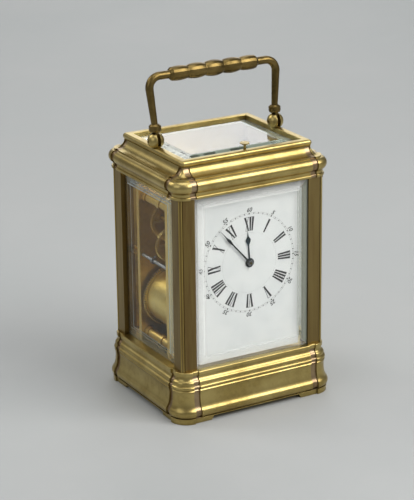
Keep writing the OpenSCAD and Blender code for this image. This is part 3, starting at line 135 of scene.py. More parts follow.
# Dial: the face, the middle of the hands and the height of the print
DIAL_Y = dial_lo.y
HANDS_X = 0.0
HANDS_RISE = 5.1
HANDS_Z = (dial_lo.z + dial_hi.z) / 2 + HANDS_RISE
PRINT_T = 0.03

# Glass: width of the ground bevel, and of the plain edge that sits in the groove
BEVEL_W = 6.0
GLASS_LIP = 1.1


# ---- Mesh helpers ----

def arc(c, r, a0, a1, n):
    """Points of an arc from angle a0 to a1 in degrees."""
    angles = [math.radians(a0 + (a1 - a0) / n * i) for i in range(n + 1)]
    return [(c[0] + r * math.cos(a), c[1] + r * math.sin(a)) for a in angles]


def bend(p0, p1, p2, n):
    """Points of a smooth curve from p0 to p2 drawn towards p1, without its first point."""
    out = []
    for i in range(1, n + 1):
        t = i / n
        out.append(tuple((1 - t) ** 2 * a + 2 * t * (1 - t) * b + t * t * c for a, b, c in zip(p0, p1, p2)))
    return out


def link(obj):
    """Puts an object in the scene."""
    bpy.context.scene.collection.objects.link(obj)
    return obj


def piece(name, bm, material, body="case", stands_for=(), sharp=32, bevel=0.0, second=None):
    """A finished mesh object from a bmesh in millimetres, riding on a CAD body.

    sharp is the edge angle in degrees above which shading breaks; second is for faces of index 1.
    """
    bmesh.ops.remove_doubles(bm, verts=bm.verts, dist=1e-4)
    bmesh.ops.dissolve_degenerate(bm, edges=bm.edges, dist=1e-4)
    bmesh.ops.recalc_face_normals(bm, faces=bm.faces)
    bmesh.ops.scale(bm, vec=(MM, MM, MM), verts=bm.verts)
    for f in bm.faces:
        f.smooth = True
    limit = math.radians(sharp)
    for e in bm.edges:
        if len(e.link_faces) != 2 or e.calc_face_angle(0) > limit:
            e.smooth = False
    mesh = bpy.data.meshes.new(name)
    bm.to_mesh(mesh)
    bm.free()
    mesh.materials.append(material)
    if second:
        mesh.materials.append(second)
    obj = link(bpy.data.objects.new(name, mesh))
    if bevel:
        m = obj.modifiers.new("edge", "BEVEL")
        m.width = bevel * MM
        m.segments = 2
        m.limit_method = "ANGLE"
        m.angle_limit = limit
        m.harden_normals = True
    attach(obj, body)
    if stands_for:
        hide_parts(*stands_for)
    return obj


def columns(ax, ay, r, strip, back, arc_n, side_n):
    """Plan columns of a moulding round a rectangle, each with its base point and outward direction.

    ax, ay and r are the plan's half sizes and corner radius. Beside each corner, a strip lies back.
    """
    out = []
    for turn in range(4):
        half, face = (ay, ax) if turn % 2 == 0 else (ax, ay)
        a = math.pi / 2 * turn
        n = Vector((math.cos(a), math.sin(a)))
        t = Vector((-math.sin(a), math.cos(a)))
        end = half - r
        us = [(-end, back), (-end + strip, back)] if strip else []
        inner = end - strip
        us += [(-inner + 2 * inner * i / side_n, 0) for i in range(side_n + 1)]
        us += [(inner, back), (end, back)] if strip else []
        for u, recess in us:
            out.append(("side" if recess == 0 else "strip", n * (face - recess), n, t, u, half))
        c = n * (face - r) + t * (half - r)
        for i in range(arc_n + 1):
            b = a + math.pi / 2 * i / arc_n
            d = Vector((math.cos(b), math.sin(b)))
            out.append(("corner", c, d, n * face + t * half, r, n + t))
    return out


def place(col, out):
    """The point of a column at an overhang."""
    if col[0] != "corner":
        _, base, n, t, u, half = col
        most = half + out if u else half
        u = max(-most, min(most, u)) if out < 0 else u
        return base + n * out + t * u
    _, c, d, tip, r, diag = col
    if r + out <= 0:
        return tip + diag * out
    return c + d * (r + out)


def sweep(profile, ax, ay, r, strip, back, wall, arc_n=14, side_n=6):
    """A closed moulding: the profile of (overhang, height) carried round, with a flat inner wall."""
    bm = bmesh.new()
    cols = columns(ax, ay, r, strip, back, arc_n, side_n)
    rows = [(-wall, profile[0][1])] + list(profile) + [(-wall, profile[-1][1])]
    grid = []
    for out, z in rows:
        row = []
        for col in cols:
            p = place(col, out)
            row.append(bm.verts.new((p.x, p.y, z)))
        grid.append(row)
    for i in range(len(rows)):
        a, b = grid[i], grid[(i + 1) % len(rows)]
        for j in range(len(cols)):
            k = (j + 1) % len(cols)
            f = bm.faces.new((a[j], a[k], b[k], b[j]))
            if cols[j][0] == cols[k][0] == "strip":
                f.material_index = 1
    return bm


def prism(bm, outline, y0, y1, at=(0, 0)):
    """Adds a closed prism with an outline in x and z, from y0 to y1."""
    front = [bm.verts.new((at[0] + x, y0, at[1] + z)) for x, z in outline]
    back = [bm.verts.new((at[0] + x, y1, at[1] + z)) for x, z in outline]
    bm.faces.new(front)
    bm.faces.new(back[::-1])
    n = len(outline)
    for i in range(n):
        bm.faces.new((front[i], back[i], back[(i + 1) % n], front[(i + 1) % n]))


def lathe(bm, profile, centre, axis="z", n=64):
    """Adds a turned solid; profile is (radius, distance along the axis), from one end to the other."""
    rows = []
    for r, h in profile:
        ring = []
        for i in range(n):
            a = 2 * math.pi * i / n
            u, v = r * math.cos(a), r * math.sin(a)
            p = {"z": (u, v, h), "x": (h, u, v), "y": (u, h, v)}[axis]
            ring.append(bm.verts.new(Vector(p) + Vector(centre)))
        rows.append(ring)
    for a, b in zip(rows, rows[1:]):
        for i in range(n):
            bm.faces.new((a[i], a[(i + 1) % n], b[(i + 1) % n], b[i]))
    bm.faces.new(rows[0])
    bm.faces.new(rows[-1][::-1])


# ---- Material helpers ----

class Tree:
    """Short names for building a node tree."""

    def __init__(self, name):
        self.mat = bpy.data.materials.new(name)
        self.mat.use_nodes = True
        self.nt = self.mat.node_tree
        self.nt.nodes.clear()
        self.out = self.add("ShaderNodeOutputMaterial")
        self.bsdf = self.add("ShaderNodeBsdfPrincipled")
        self.link(self.bsdf.outputs[0], self.out.inputs[0])
        self.coord = self.add("ShaderNodeTexCoord").outputs["Object"]

    def add(self, kind, **props):
        """A new node with its properties set."""
        n = self.nt.nodes.new(kind)
        for k, v in props.items():
            setattr(n, k, v)
        return n

    def link(self, a, b):
        self.nt.links.new(a, b)

    def set(self, **values):
        """Constants on the shader's own sockets."""
        for k, v in values.items():
            self.bsdf.inputs[k.replace("_", " ")].default_value = v

    def noise(self, scale, detail=3, rough=0.5, stretch=(1, 1, 1), offset=(0, 0, 0)):
        """Noise over the object's own coordinates, which are in metres."""
        m = self.add("ShaderNodeMapping")
        m.inputs["Scale"].default_value = stretch
        m.inputs["Location"].default_value = offset
        self.link(self.coord, m.inputs[0])
        n = self.add("ShaderNodeTexNoise")
        n.inputs["Scale"].default_value = scale
        n.inputs["Detail"].default_value = detail
        n.inputs["Roughness"].default_value = rough
        self.link(m.outputs[0], n.inputs["Vector"])
        return n.outputs[0]

    def split(self):
        """The object's own x, y and z."""
        xyz = self.add("ShaderNodeSeparateXYZ")
        self.link(self.coord, xyz.inputs[0])
        return xyz.outputs

    def ramp(self, fac, lo, hi, a=0.0, b=1.0):
        """fac carried from the range lo..hi to a..b, and clamped."""
        m = self.add("ShaderNodeMapRange", clamp=True)
        for k, v in (("From Min", lo), ("From Max", hi), ("To Min", a), ("To Max", b)):
            m.inputs[k].default_value = v
        self.link(fac, m.inputs["Value"])
        return m.outputs[0]

    def mix(self, fac, a, b):
        """Colour a where fac is 0, and b where it is 1."""
        m = self.add("ShaderNodeMix", data_type="RGBA")
        self.link(fac, m.inputs[0])
        for s, v in ((m.inputs[6], a), (m.inputs[7], b)):
            if isinstance(v, tuple):
                s.default_value = (*v, 1)
            else:
                self.link(v, s)
        return m.outputs[2]

    def maths(self, op, a, b):
        """A clamped sum, product or the like of two values."""
        m = self.add("ShaderNodeMath", operation=op, use_clamp=True)
        for s, v in ((m.inputs[0], a), (m.inputs[1], b)):
            if isinstance(v, (int, float)):
                s.default_value = v
            else:
                self.link(v, s)
        return m.outputs[0]

    def bump(self, height, distance):
        """Relief in the shading, distance metres deep."""
        b = self.add("ShaderNodeBump")
        b.inputs["Distance"].default_value = distance
        self.link(height, b.inputs["Height"])
        self.link(b.outputs[0], self.bsdf.inputs["Normal"])

    def cavity(self, distance, lo=0.25, hi=0.85):
        """1 in crevices, 0 on open surfaces, found by ambient occlusion; it masks the painted shade."""
        ao = self.add("ShaderNodeAmbientOcclusion", samples=4)
        ao.inputs["Distance"].default_value = distance
        return self.ramp(ao.outputs["AO"], lo, hi, 1.0, 0.0)


def hexa(code):
    """A linear colour from an sRGB hex code."""
    rgb = [int(code[i:i + 2], 16) / 255 for i in (1, 3, 5)]
    return tuple(c / 12.92 if c <= 0.04045 else ((c + 0.055) / 1.055) ** 2.4 for c in rgb)


# Distances in the material helpers are in metres
# PAINTED_SHADE_COLOUR is painted into crevices as shade; CREVICE is how far the occlusion looks
PAINTED_SHADE_COLOUR = "#3a2f1c"
CREVICE = 1.6 * MM
METAL_BUMP = 0.005 * MM


def metal(name, base, worn, tarnish, rough, patches, painted_shade=0.6, brushed=None, streak=(1, 1, 1), behind=None):
    """Aged metal: a base colour that wears brighter, tarnish in patches, and painted shade darkening the
    crevices.

    brushed stretches the grain and streak the patches. behind is a depth in y and the base colour past it.
    """
    t = Tree(name)
    t.set(Metallic=1.0)
    broad = t.noise(45, 4, 0.6, stretch=streak)
    small = t.noise(420, 5, 0.65, stretch=streak, offset=(3, 1, 2))
    speck = t.noise(1600, 2, 0.5, offset=(7, 5, 1))
    colour = t.mix(t.ramp(broad, 0.4, 0.62), hexa(base), hexa(worn))
    patch = t.maths("MULTIPLY", t.ramp(small, 0.46, 0.66), t.ramp(broad, 0.62, 0.4))
    colour = t.mix(t.maths("MULTIPLY", patch, patches), colour, hexa(tarnish))
    colour = t.mix(t.ramp(speck, 0.66, 0.74, 0.0, 0.35), colour, hexa(tarnish))
    if behind:
        depth, other = behind
        colour = t.mix(t.ramp(t.split()[1], depth, depth + 0.1 * MM), colour, hexa(other))
    # Painted shade: crevices found by ambient occlusion are darkened towards a dark brown
    colour = t.mix(t.maths("MULTIPLY", t.cavity(CREVICE), painted_shade), colour, hexa(PAINTED_SHADE_COLOUR))
    t.link(colour, t.bsdf.inputs["Base Color"])
    wear = t.maths("ADD", t.ramp(small, 0.3, 0.7, 0.0, 0.6), t.maths("MULTIPLY", patch, 0.5))
    t.link(t.ramp(wear, 0.0, 1.0, *rough), t.bsdf.inputs["Roughness"])
    t.bump(t.noise(900, 2, 0.5, stretch=brushed) if brushed else small, METAL_BUMP)
    return t.mat


def painted(name, colour, second, rough, scale, fine=0.01 * MM):
    """A coat that drifts between two close colours."""
    t = Tree(name)
    n = t.noise(scale, 4, 0.6)
    t.link(t.mix(t.ramp(n, 0.35, 0.65), hexa(colour), hexa(second)), t.bsdf.inputs["Base Color"])
    t.link(t.ramp(n, 0.3, 0.7, rough * 0.8, rough * 1.3), t.bsdf.inputs["Roughness"])
    t.bump(n, fine)
    return t.mat


def pane_glass(name, node, across, painted_reflection_tints, ior=1.4, gloss=0.5, reflection_breakup=0.0):
    """Clear glass that lets lamps through, with a painted reflection over its bevel.

    across is the pane's two long axes. painted_reflection_tints has the low and the high side of the first,
    then of the
    second: each a colour, its strength at the inner arris and at the outer edge, and the arris's own.
    reflection_breakup breaks the painted reflection up into pieces. ior and gloss are chosen for the look.
    """
    t = Tree(name)
    t.set(Transmission_Weight=1.0, IOR=ior, Specular_IOR_Level=gloss, Roughness=0.0,
          Base_Color=(0.98, 0.99, 0.985, 1))
    smear = t.noise(60, 3, 0.6, stretch=(1, 1, 0.4))
    t.link(t.ramp(smear, 0.5, 0.75, 0.0, 0.012), t.bsdf.inputs["Roughness"])
    t.bump(t.noise(35, 1), 0.004 * MM)
    xyz = t.split()
    lo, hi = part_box(node)
    full = (BEVEL_W + GLASS_LIP) * MM
    reflection_breakup_mask = t.ramp(t.noise(170, 0, 0.5, offset=(4, 2, 6)), 0.47, 0.53, 1 - reflection_breakup, 1.0)
    depth = []
    for k in range(4):
        axis = "XYZ".index(across[k // 2])
        outer, inner = (lo[axis], lo[axis] + full) if k % 2 == 0 else (hi[axis], hi[axis] - full)
        depth.append(t.ramp(xyz[axis], outer, inner))
    least = t.maths("MINIMUM", t.maths("MINIMUM", depth[0], depth[1]), t.maths("MINIMUM", depth[2], depth[3]))
    # The bevel's band, the painted line at its inner edge, and each side's own share of it up to the mitres:
    # all of it painted reflection
    bevel = t.ramp(least, 0.99, 1.0, 1.0, 0.0)
    arris = t.maths("SUBTRACT", bevel, t.ramp(least, 0.93, 0.94, 1.0, 0.0))
    colour, weight = hexa(painted_reflection_tints[0][0]), 0.0
    for d, (reflected_tone, inner, outer, line) in zip(depth, painted_reflection_tints):
        own = t.ramp(t.maths("SUBTRACT", d, least), 0.0, 0.02, 1.0, 0.0)
        strength = t.maths("MULTIPLY", t.maths("MULTIPLY", bevel, reflection_breakup_mask), t.ramp(d, 1.0, 0.15, inner, outer))
        strength = t.maths("MAXIMUM", strength, t.maths("MULTIPLY", arris, line))
        weight = t.maths("MAXIMUM", weight, t.maths("MULTIPLY", own, strength))
        colour = t.mix(own, colour, hexa(reflected_tone))
    # The painted reflection: a diffuse colour mixed over the clear glass on the bevel
    ground = t.add("ShaderNodeBsdfDiffuse")
    t.link(colour, ground.inputs[0])
    bevel_painted_reflection = t.add("ShaderNodeMixShader")
    t.link(weight, bevel_painted_reflection.inputs[0])
    t.link(t.bsdf.outputs[0], bevel_painted_reflection.inputs[1])
    t.link(ground.outputs[0], bevel_painted_reflection.inputs[2])
    path = t.add("ShaderNodeLightPath")
    clear = t.add("ShaderNodeBsdfTransparent")
    clear.inputs[0].default_value = (0.97, 0.98, 0.975, 1)
    both = t.add("ShaderNodeMixShader")
    t.link(path.outputs["Is Shadow Ray"], both.inputs[0])
    t.link(bevel_painted_reflection.outputs[0], both.inputs[1])
    t.link(clear.outputs[0], both.inputs[2])
    t.link(both.outputs[0], t.out.inputs[0])
    return t.mat


case_brass = metal("case_brass", "#a69156", "#b9a66b", "#7e6d44", rough=(0.29, 0.4), patches=0.4,
                   painted_shade=0.45)
strip_brass = metal("strip_tarnish", "#91795a", "#a48f70", "#685644", rough=(0.3, 0.42), patches=0.7,
                    painted_shade=0.3)
# The beads' brass is brighter than the pillars': partly their own colour, partly a painted highlight along
# the reeds
bead_highlight_brass = metal("bead_highlight_brass", "#a38c4e", "#b9a365", "#76603a", rough=(0.28, 0.36), patches=0.5,
                   streak=(1, 1, 0.08))
pillar_brass = metal("pillar_brass", "#7b683e", "#8e7b4f", "#664c32", rough=(0.29, 0.42), patches=0.6,
                     streak=(1, 1, 0.06))
handle_brass = metal("handle_brass", "#685731", "#816d41", "#423720", rough=(0.29, 0.38), patches=0.5,
                     painted_shade=0.8)
movement_brass = metal("movement_brass", "#dcbc68", "#e6cb80", "#a98a4a", rough=(0.3, 0.44), patches=0.25,
                       brushed=(1, 1, 12))
gilt_brass = metal("gilt_brass", "#e2c66e", "#ecd586", "#b39550", rough=(0.28, 0.42), patches=0.2)
copper = metal("copper", "#b8693c", "#cf8450", "#7c4528", rough=(0.22, 0.36), patches=0.35)
steel = metal("steel", "#8f9196", "#a5a7ab", "#5f5f62", rough=(0.22, 0.38), patches=0.4,
              brushed=(1, 8, 1))
silvered = metal("silvered", "#c9c4b4", "#d8d3c4", "#98917e", rough=(0.3, 0.42), patches=0.4)
blued_steel = metal("blued_steel", "#12242c", "#1b343c", "#0d161c", rough=(0.14, 0.25), patches=0.4,
                    painted_shade=0.3)
enamel = painted("enamel", "#d2d4d4", "#dadbda", rough=0.14, scale=60, fine=0.006 * MM)
ink = painted("dial_ink", "#141416", "#1f1e20", rough=0.35, scale=300)
# Each pane's bevel colours below are painted reflections: colour, strength at the inner arris and at the
# outer edge, and the arris line's own
side_glass = pane_glass("side_glass", "glass_left", "YZ", [
    ("#c9d6c8", 0.2, 0.45, 0.9), ("#a9a592", 0.03, 0.08, 0.8), ("#c5c4b0", 0.06, 0.25, 0.7),
    ("#c2cccb", 0.25, 0.45, 0.7)], ior=1.17, gloss=0.3)
front_glass = pane_glass("front_glass", "glass_front", "XZ", [
    ("#f6f7f5", 0.12, 0.3, 0.8), ("#a3a89c", 0.05, 0.8, 0.4), ("#e9ebe9", 0.1, 0.15, 0.45),
    ("#f6f7f5", 0.2, 0.4, 0.8)])
top_glass = pane_glass("top_glass", "glass_top", "XY", [
    ("#e6eae4", 0.7, 0.35, 0.9), ("#b9c4b8", 0.35, 0.3, 0.7), ("#a8b5a6", 0.5, 0.4, 0.9),
    ("#cdd3c8", 0.25, 0.2, 0.5)], ior=1.45, reflection_breakup=0.6)
door_glass = pane_glass("door_glass", "door_glass", "XZ", [
    ("#c9d6c8", 0.1, 0.2, 0.5), ("#c9d6c8", 0.1, 0.2, 0.5), ("#c5c4b0", 0.06, 0.15, 0.5),
    ("#c2cccb", 0.15, 0.25, 0.5)], ior=1.3)
hammer_metal = metal("hammer_steel", "#9a9da1", "#b4b6b9", "#6a6a6c", rough=(0.29, 0.4), patches=0.3,
                     behind=(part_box("back_plate")[1].y, "#cdb062"))
OWN = {"glass_front": front_glass, "glass_top": top_glass, "door_glass": door_glass, "hammer": hammer_metal}

SLOTS = {"case_brass": case_brass, "pillar_brass": pillar_brass, "handle_brass": handle_brass, "steel": steel,
         "glass": side_glass, "enamel": enamel, "copper": copper, "blued_steel": blued_steel,
         "movement_brass": movement_brass, "gilt_brass": gilt_brass, "silvered": silvered}


# ---- Case mouldings and feet ----

def casting(name, profile, wall, node):
    """A moulding round the case, with its strips tarnished."""
    bm = sweep(profile, HALF_X, HALF_Y, CORNER_R, STRIP_W, STRIP_RECESS, wall)
    return piece(name, bm, case_brass, stands_for=[node], bevel=CAST_BEVEL,
                 second=strip_brass)


base_torus = arc((TORUS_OUT - BASE_TORUS_R, Z_TORUS), BASE_TORUS_R, -58, TORUS_TURN, 24)
casting("base_casting", (
    [(TORUS_OUT - BASE_LIP_IN, FOOT_H), (TORUS_OUT - BASE_LIP_IN, FOOT_H + BASE_LIP_H)]
    + base_torus
    + bend(base_torus[-1], (COVE_OUT, base_torus[-1][1] + SHOULDER_H), (COVE_OUT, Z_COVE), 20)
    + arc((COVE_OUT + FLARE_R, Z_COVE), FLARE_R, 180, 157, 10)[1:]
    + arc((BEAD_OUT - BEAD_TURN_R, Z_BEAD + BEAD_TURN_R), BEAD_TURN_R, -60, 60, 14)
    + [(COVE_OUT - GROOVE_IN, Z_GROOVE + 0.1), (COVE_OUT - GROOVE_IN, Z_OVOLO)]
    + arc((COVE_OUT - OVOLO_R, Z_OVOLO + OVOLO_RISE), OVOLO_R, -5, 60, 14)
    + [(PLATE_LINE_OUT, Z_PLATE - PLATE_LINE_H), (PLATE_LINE_OUT, Z_PLATE)]
), BASE_WALL, "base_moulding")

casting("cornice_casting", (
    arc((CORNICE_OUT - CORNICE_EDGE_R, Z_ROOF + CORNICE_EDGE_R), CORNICE_EDGE_R, -90, 0, 6)
    + arc((CORNICE_OUT - CORNICE_EDGE_R, Z_NECK - CORNICE_EDGE_R), CORNICE_EDGE_R, 0, 90, 6)
    + [(NECK_OUT, Z_NECK), (NECK_OUT, Z_NECK + NECK_H)]
    + arc((TORUS_IN, Z_CTORUS), TORUS_R, -62, 80, 28)
    + [(FILLET_OUT, Z_FILLET), (FILLET_OUT, Z_CCOVE)]
    + arc((TORUS_IN, Z_CCOVE + COVE_R), COVE_R, -90, -164, 22)
    + [(COVE_END, Z_RIM)]
), CORNICE_WALL, "cornice")

# The rim's flat top eases down to its inner edge
rim_profile = (
    [(-RIM_FOOT, Z_RIM)]
    + arc((-RIM_R, Z_RIM + RIM_R), RIM_R, -60, 75, 18)
    + [(-RIM_W * 0.55, Z_TOP), (-RIM_W + RIM_LEDGE + 0.2, Z_TOP - 0.15), (-RIM_W + RIM_LEDGE, Z_TOP - 0.4)]
)
piece("cornice_rim", sweep(rim_profile, RIM_X, RIM_Y, RIM_R, 0, 0, RIM_W - RIM_LEDGE, arc_n=8),
      case_brass, bevel=0.06)


def corner_name(sx, sy):
    """The words for a corner, from its signs in x and y."""
    return ("left" if sx < 0 else "right") + ("_front" if sy < 0 else "_back")


def foot(sx, sy):
    """A bracket foot under one corner, with slanted inner ends."""
    bm = bmesh.new()
    out = TORUS_OUT - FOOT_IN
    cx, cy = HALF_X - CORNER_R, HALF_Y - CORNER_R
    face = CORNER_R + out - STRIP_RECESS
    nick = 0.01
    rows = []
    for z, grow, flare in ((0, 0, 0), (FOOT_H, FOOT_SLANT, FOOT_FLARE)):
        reach = STRIP_W + FOOT_LEN + grow
        outline = [(cx - reach, cy + face), (cx - nick, cy + face)]
        outline += [(cx + x, cy + y) for y, x in arc((0, 0), CORNER_R + out + flare, 0, 90, 16)]
        outline += [(cx + face, cy - nick), (cx + face, cy - reach)]
        outline += [(cx, cy - reach), (cx, cy), (cx - reach, cy)]
        rows.append([bm.verts.new((sx * x, sy * y, z)) for x, y in outline])
    n = len(rows[0])
    for i in range(n):
        bm.faces.new((rows[0][i], rows[0][(i + 1) % n], rows[1][(i + 1) % n], rows[1][i]))
    bm.faces.new(rows[0])
    bm.faces.new(rows[1][::-1])
    return piece("foot_" + corner_name(sx, sy), bm, case_brass, bevel=0.12)


CORNERS = [(sx, sy) for sx in (-1, 1) for sy in (-1, 1)]
for corner in CORNERS:
    foot(*corner)


# ---- Beads that flank the groove on each pillar's outer corner ----

BEAD_R = 0.38
BEAD_IN = 0.08
BEAD_AT = 0.97
BEAD_GAP = 0.02


def pillar_beads(sx, sy):
    """Two half-round beads up one pillar."""
    bm = bmesh.new()
    for in_x, in_y in ((BEAD_AT, BEAD_IN), (BEAD_IN, BEAD_AT)):
        at = (sx * (HALF_X - in_x), sy * (HALF_Y - in_y), 0)
        lathe(bm, [(BEAD_R, Z_FLOOR + BEAD_GAP), (BEAD_R, Z_ROOF - BEAD_GAP)], at, "z", 20)
    return piece("pillar_beads_" + corner_name(sx, sy), bm, bead_highlight_brass)


for corner in CORNERS:
    pillar_beads(*corner)


# ---- Dial ----

def polar(x, y, centre_angle, r0, r_mid):
    """A point of a figure, warped round the dial: clockwise angle from 12 and radius."""
    a = math.radians(centre_angle) + x / r_mid
    r = r0 + y
    return r * math.sin(a), r * math.cos(a)


# Hour numerals: inner radius, height, the radius where their widths are true, and stroke widths
ROMAN = ("I", "II", "III", "IIII", "V", "VI", "VII", "VIII", "IX", "X", "XI", "XII")
ROMAN_R0 = 17.3
ROMAN_H = 7.5
ROMAN_MID = 21.0
THICK = 0.98
THIN = 0.26
SERIF = 0.17
SERIF_IN = 0.12
ADVANCE = {"I": 1.4, "V": 2.6, "X": 2.7}
HEAVY_IN = 0.6
LIGHT_IN = 0.3
V_HEAVY_FOOT = -0.1
V_LIGHT_FOOT = 0.25
LAYER = 0.0006


def bar(x0, x1, y0, y1):
    """An upright rectangle."""
    return [(x0, y0), (x1, y0), (x1, y1), (x0, y1)]


def slant(x_low, x_high, w, y0, y1):
    """A slanting stroke w wide, centred on x_low at its foot and x_high at its head."""
    return [(x_low - w / 2, y0), (x_low + w / 2, y0), (x_high + w / 2, y1), (x_high - w / 2, y1)]


def glyph(letter, x):
    """Strokes of one letter whose advance box starts at x."""
    half = ADVANCE[letter] / 2
    c = x + half
    if letter == "I":
        return [bar(c - THICK / 2, c + THICK / 2, 0, ROMAN_H)]
    heavy_head, light_head = c - half + HEAVY_IN, c + half - LIGHT_IN
    if letter == "V":
        return [slant(c + V_HEAVY_FOOT, heavy_head, THICK, 0, ROMAN_H),
                slant(c + V_LIGHT_FOOT, light_head, THIN, 0, ROMAN_H)]
    return [slant(c + half - HEAVY_IN, heavy_head, THICK, 0, ROMAN_H),
            slant(c - half + LIGHT_IN, light_head, THIN, 0, ROMAN_H)]


def numeral_strokes(word):
    """The letters of a numeral and its two long serifs."""
    half = sum(ADVANCE[c] for c in word) / 2
    x = -half
    strokes = []
    for c in word:
        strokes += glyph(c, x)
        x += ADVANCE[c]
    end = half - SERIF_IN
    return strokes + [bar(-end, end, 0, SERIF), bar(-end, end, ROMAN_H - SERIF, ROMAN_H)]


def warped(stroke, angle, r0, r_mid, n=5):
    """A four-cornered stroke bent round the dial, with n points to a side."""
    pts = []
    for p, q in zip(stroke, stroke[1:] + stroke[:1]):
        for i in range(n):
            f = i / n
            pts.append(polar(p[0] + (q[0] - p[0]) * f, p[1] + (q[1] - p[1]) * f, angle, r0, r_mid))
    return pts


def dial_numerals():
    """Hour numerals, each stroke a hair above the one before."""
    bm = bmesh.new()
    for hour, word in enumerate(ROMAN, 1):
        for k, stroke in enumerate(numeral_strokes(word)):
            outline = warped(stroke, 30 * hour, ROMAN_R0, ROMAN_MID)
            prism(bm, outline, DIAL_Y - (PRINT_T + LAYER * k), DIAL_Y, (HANDS_X, HANDS_Z))
    return piece("dial_numerals", bm, ink)


def ring(bm, r0, r1, y0, y1, n=180):
    """Adds a flat ring round the hands' middle, from y0 to y1."""
    verts = []
    for r, y in ((r0, y0), (r1, y0), (r1, y1), (r0, y1)):
        verts.append([bm.verts.new((HANDS_X + r * math.sin(2 * math.pi * i / n), y,
                                    HANDS_Z + r * math.cos(2 * math.pi * i / n))) for i in range(n)])
    for a, b in zip(verts, verts[1:] + verts[:1]):
        for i in range(n):
            bm.faces.new((a[i], a[(i + 1) % n], b[(i + 1) % n], b[i]))


# Minute track, the ring inside the numerals and the minute figures outside the track
TRACK_IN = 26.25
TRACK_OUT = 27.0
LINE = 0.05
TICK_HALF = 0.16
TICK5_HALF = 0.3
TICK_LIFT = 0.001
INNER_RING = 16.2
ARABIC_R = 27.55
ARABIC_H = 1.9
ARABIC_SIZE = 3.15
ARABIC_WEIGHT = 0.065
ARABIC_LEAN = 0.25


def dial_track():
    """Two fine rings with sixty marks between them, and the inner ring."""
    bm = bmesh.new()
    y = DIAL_Y - PRINT_T
    ring(bm, TRACK_IN - LINE, TRACK_IN, y, DIAL_Y)
    ring(bm, TRACK_OUT, TRACK_OUT + LINE, y, DIAL_Y)
    ring(bm, INNER_RING - LINE / 2, INNER_RING, y, DIAL_Y)
    for i in range(60):
        w = TICK_HALF if i % 5 else TICK5_HALF
        stroke = bar(-w, w, 0, TRACK_OUT - TRACK_IN)
        prism(bm, warped(stroke, 6 * i, TRACK_IN, TRACK_IN, 1), y - TICK_LIFT, DIAL_Y, (HANDS_X, HANDS_Z))
    return piece("dial_minute_track", bm, ink)


def dial_minutes():
    """The figures 5 to 60, leaning, and upright towards the rim."""
    bm = bmesh.new()
    for hour in range(1, 13):
        text = bpy.data.curves.new("minutes", "FONT")
        text.body = str(5 * hour)
        text.size = ARABIC_SIZE
        text.offset = ARABIC_WEIGHT
        text.shear = ARABIC_LEAN
        text.align_x = "CENTER"
        text.resolution_u = 3
        holder = link(bpy.data.objects.new("minutes", text))
        bpy.context.view_layer.update()
        mesh = bpy.data.meshes.new_from_object(holder.evaluated_get(bpy.context.evaluated_depsgraph_get()))
        for v in mesh.vertices:
            x, z = polar(v.co.x, v.co.y, 30 * hour, ARABIC_R, ARABIC_R + ARABIC_H / 2)
            v.co = (HANDS_X + x, DIAL_Y - PRINT_T, HANDS_Z + z)
        bm.from_mesh(mesh)
        bpy.data.meshes.remove(mesh)
        bpy.data.objects.remove(holder)
        bpy.data.curves.remove(text)
    bmesh.ops.remove_doubles(bm, verts=bm.verts, dist=1e-5)
    solid = bmesh.ops.extrude_face_region(bm, geom=list(bm.faces))
    moved = [g for g in solid["geom"] if isinstance(g, bmesh.types.BMVert)]
    bmesh.ops.translate(bm, verts=moved, vec=(0, PRINT_T, 0))
    return piece("dial_minute_figures", bm, ink)


dial_numerals()
dial_track()
dial_minutes()


# ---- Hands: blued steel, tapered and pear shaped ----

MINUTE_AT = 318.9
HOUR_AT = 356.3
SPADE_BELOW = 3.4
SPADE_LEN = 4.6
HAND_TIP = 0.05
BLADE_BACK = 0.04
HUB_PROUD = 0.02


def hand_outline(length, spade, hub, stem, width, tip):
    """Closed outline of (half width, distance): stem, pear and point, up one side and down the other.

    stem is its half width at the hub and at the pear, spade where the pear is widest, about, and width
    its half width there. tip draws the pear out.
    """
    low, high = stem
    start = spade - SPADE_BELOW
    spade_len = SPADE_LEN + tip * 0.4
    half = [(low, hub * 0.86)]
    half += [(low + (high - low) * i / 6, hub + (start - hub) * i / 6) for i in range(1, 7)]
    for i in range(1, 15):
        t = i / 15
        swell = math.sin(math.pi * t ** 1.25) ** 1.5
        half.append((high + (width - high) * swell, start + spade_len * t))
    half += [(high * 0.9, start + spade_len), (high * 0.4, (spade + 2.4 + length) / 2), (HAND_TIP, length)]
    return half + [(-w, d) for w, d in half[::-1]]


def hand(name, node, body, length, spade, hub, hole, stem, width, tip, angle):
    """A hand as thick as its CAD node, at an angle clockwise from 12, with a thicker hub ring."""
    lo, hi = limits(node)
    bm = bmesh.new()
    a = math.radians(angle)
    outline = [(x * math.cos(a) + d * math.sin(a), d * math.cos(a) - x * math.sin(a))
               for x, d in hand_outline(length, spade, hub, stem, width, tip)]
    prism(bm, outline, lo.y + BLADE_BACK, hi.y, (HANDS_X, HANDS_Z))
    ring(bm, hole, hub, lo.y - HUB_PROUD, hi.y, 64)
    return piece(name, bm, blued_steel, body, [node], bevel=0.05)


hand("hour_hand_blued", "hour_hand", "hour", length=17.6, spade=12.6, hub=2.5, hole=1.92,
     stem=(0.42, 0.34), width=1.45, tip=2.0, angle=HOUR_AT)
hand("minute_hand_blued", "minute_hand", "centre", length=27.1, spade=18.6, hub=2.1, hole=1.17,
     stem=(0.46, 0.36), width=0.78, tip=3.0, angle=MINUTE_AT)


# ---- Handle grip: five faceted lobes in a row ----

GRIP_HALF = (grip_hi.x - grip_lo.x) / 2
grip_centre = (grip_lo + grip_hi) / 2
LOBE_R = (grip_hi.z - grip_lo.z) / 2
LOBES = 5
LOBE_STEPS = 8
FACETS = 16
GRIP_END_R = 2.45
LOBE_SHRINK = 0.2


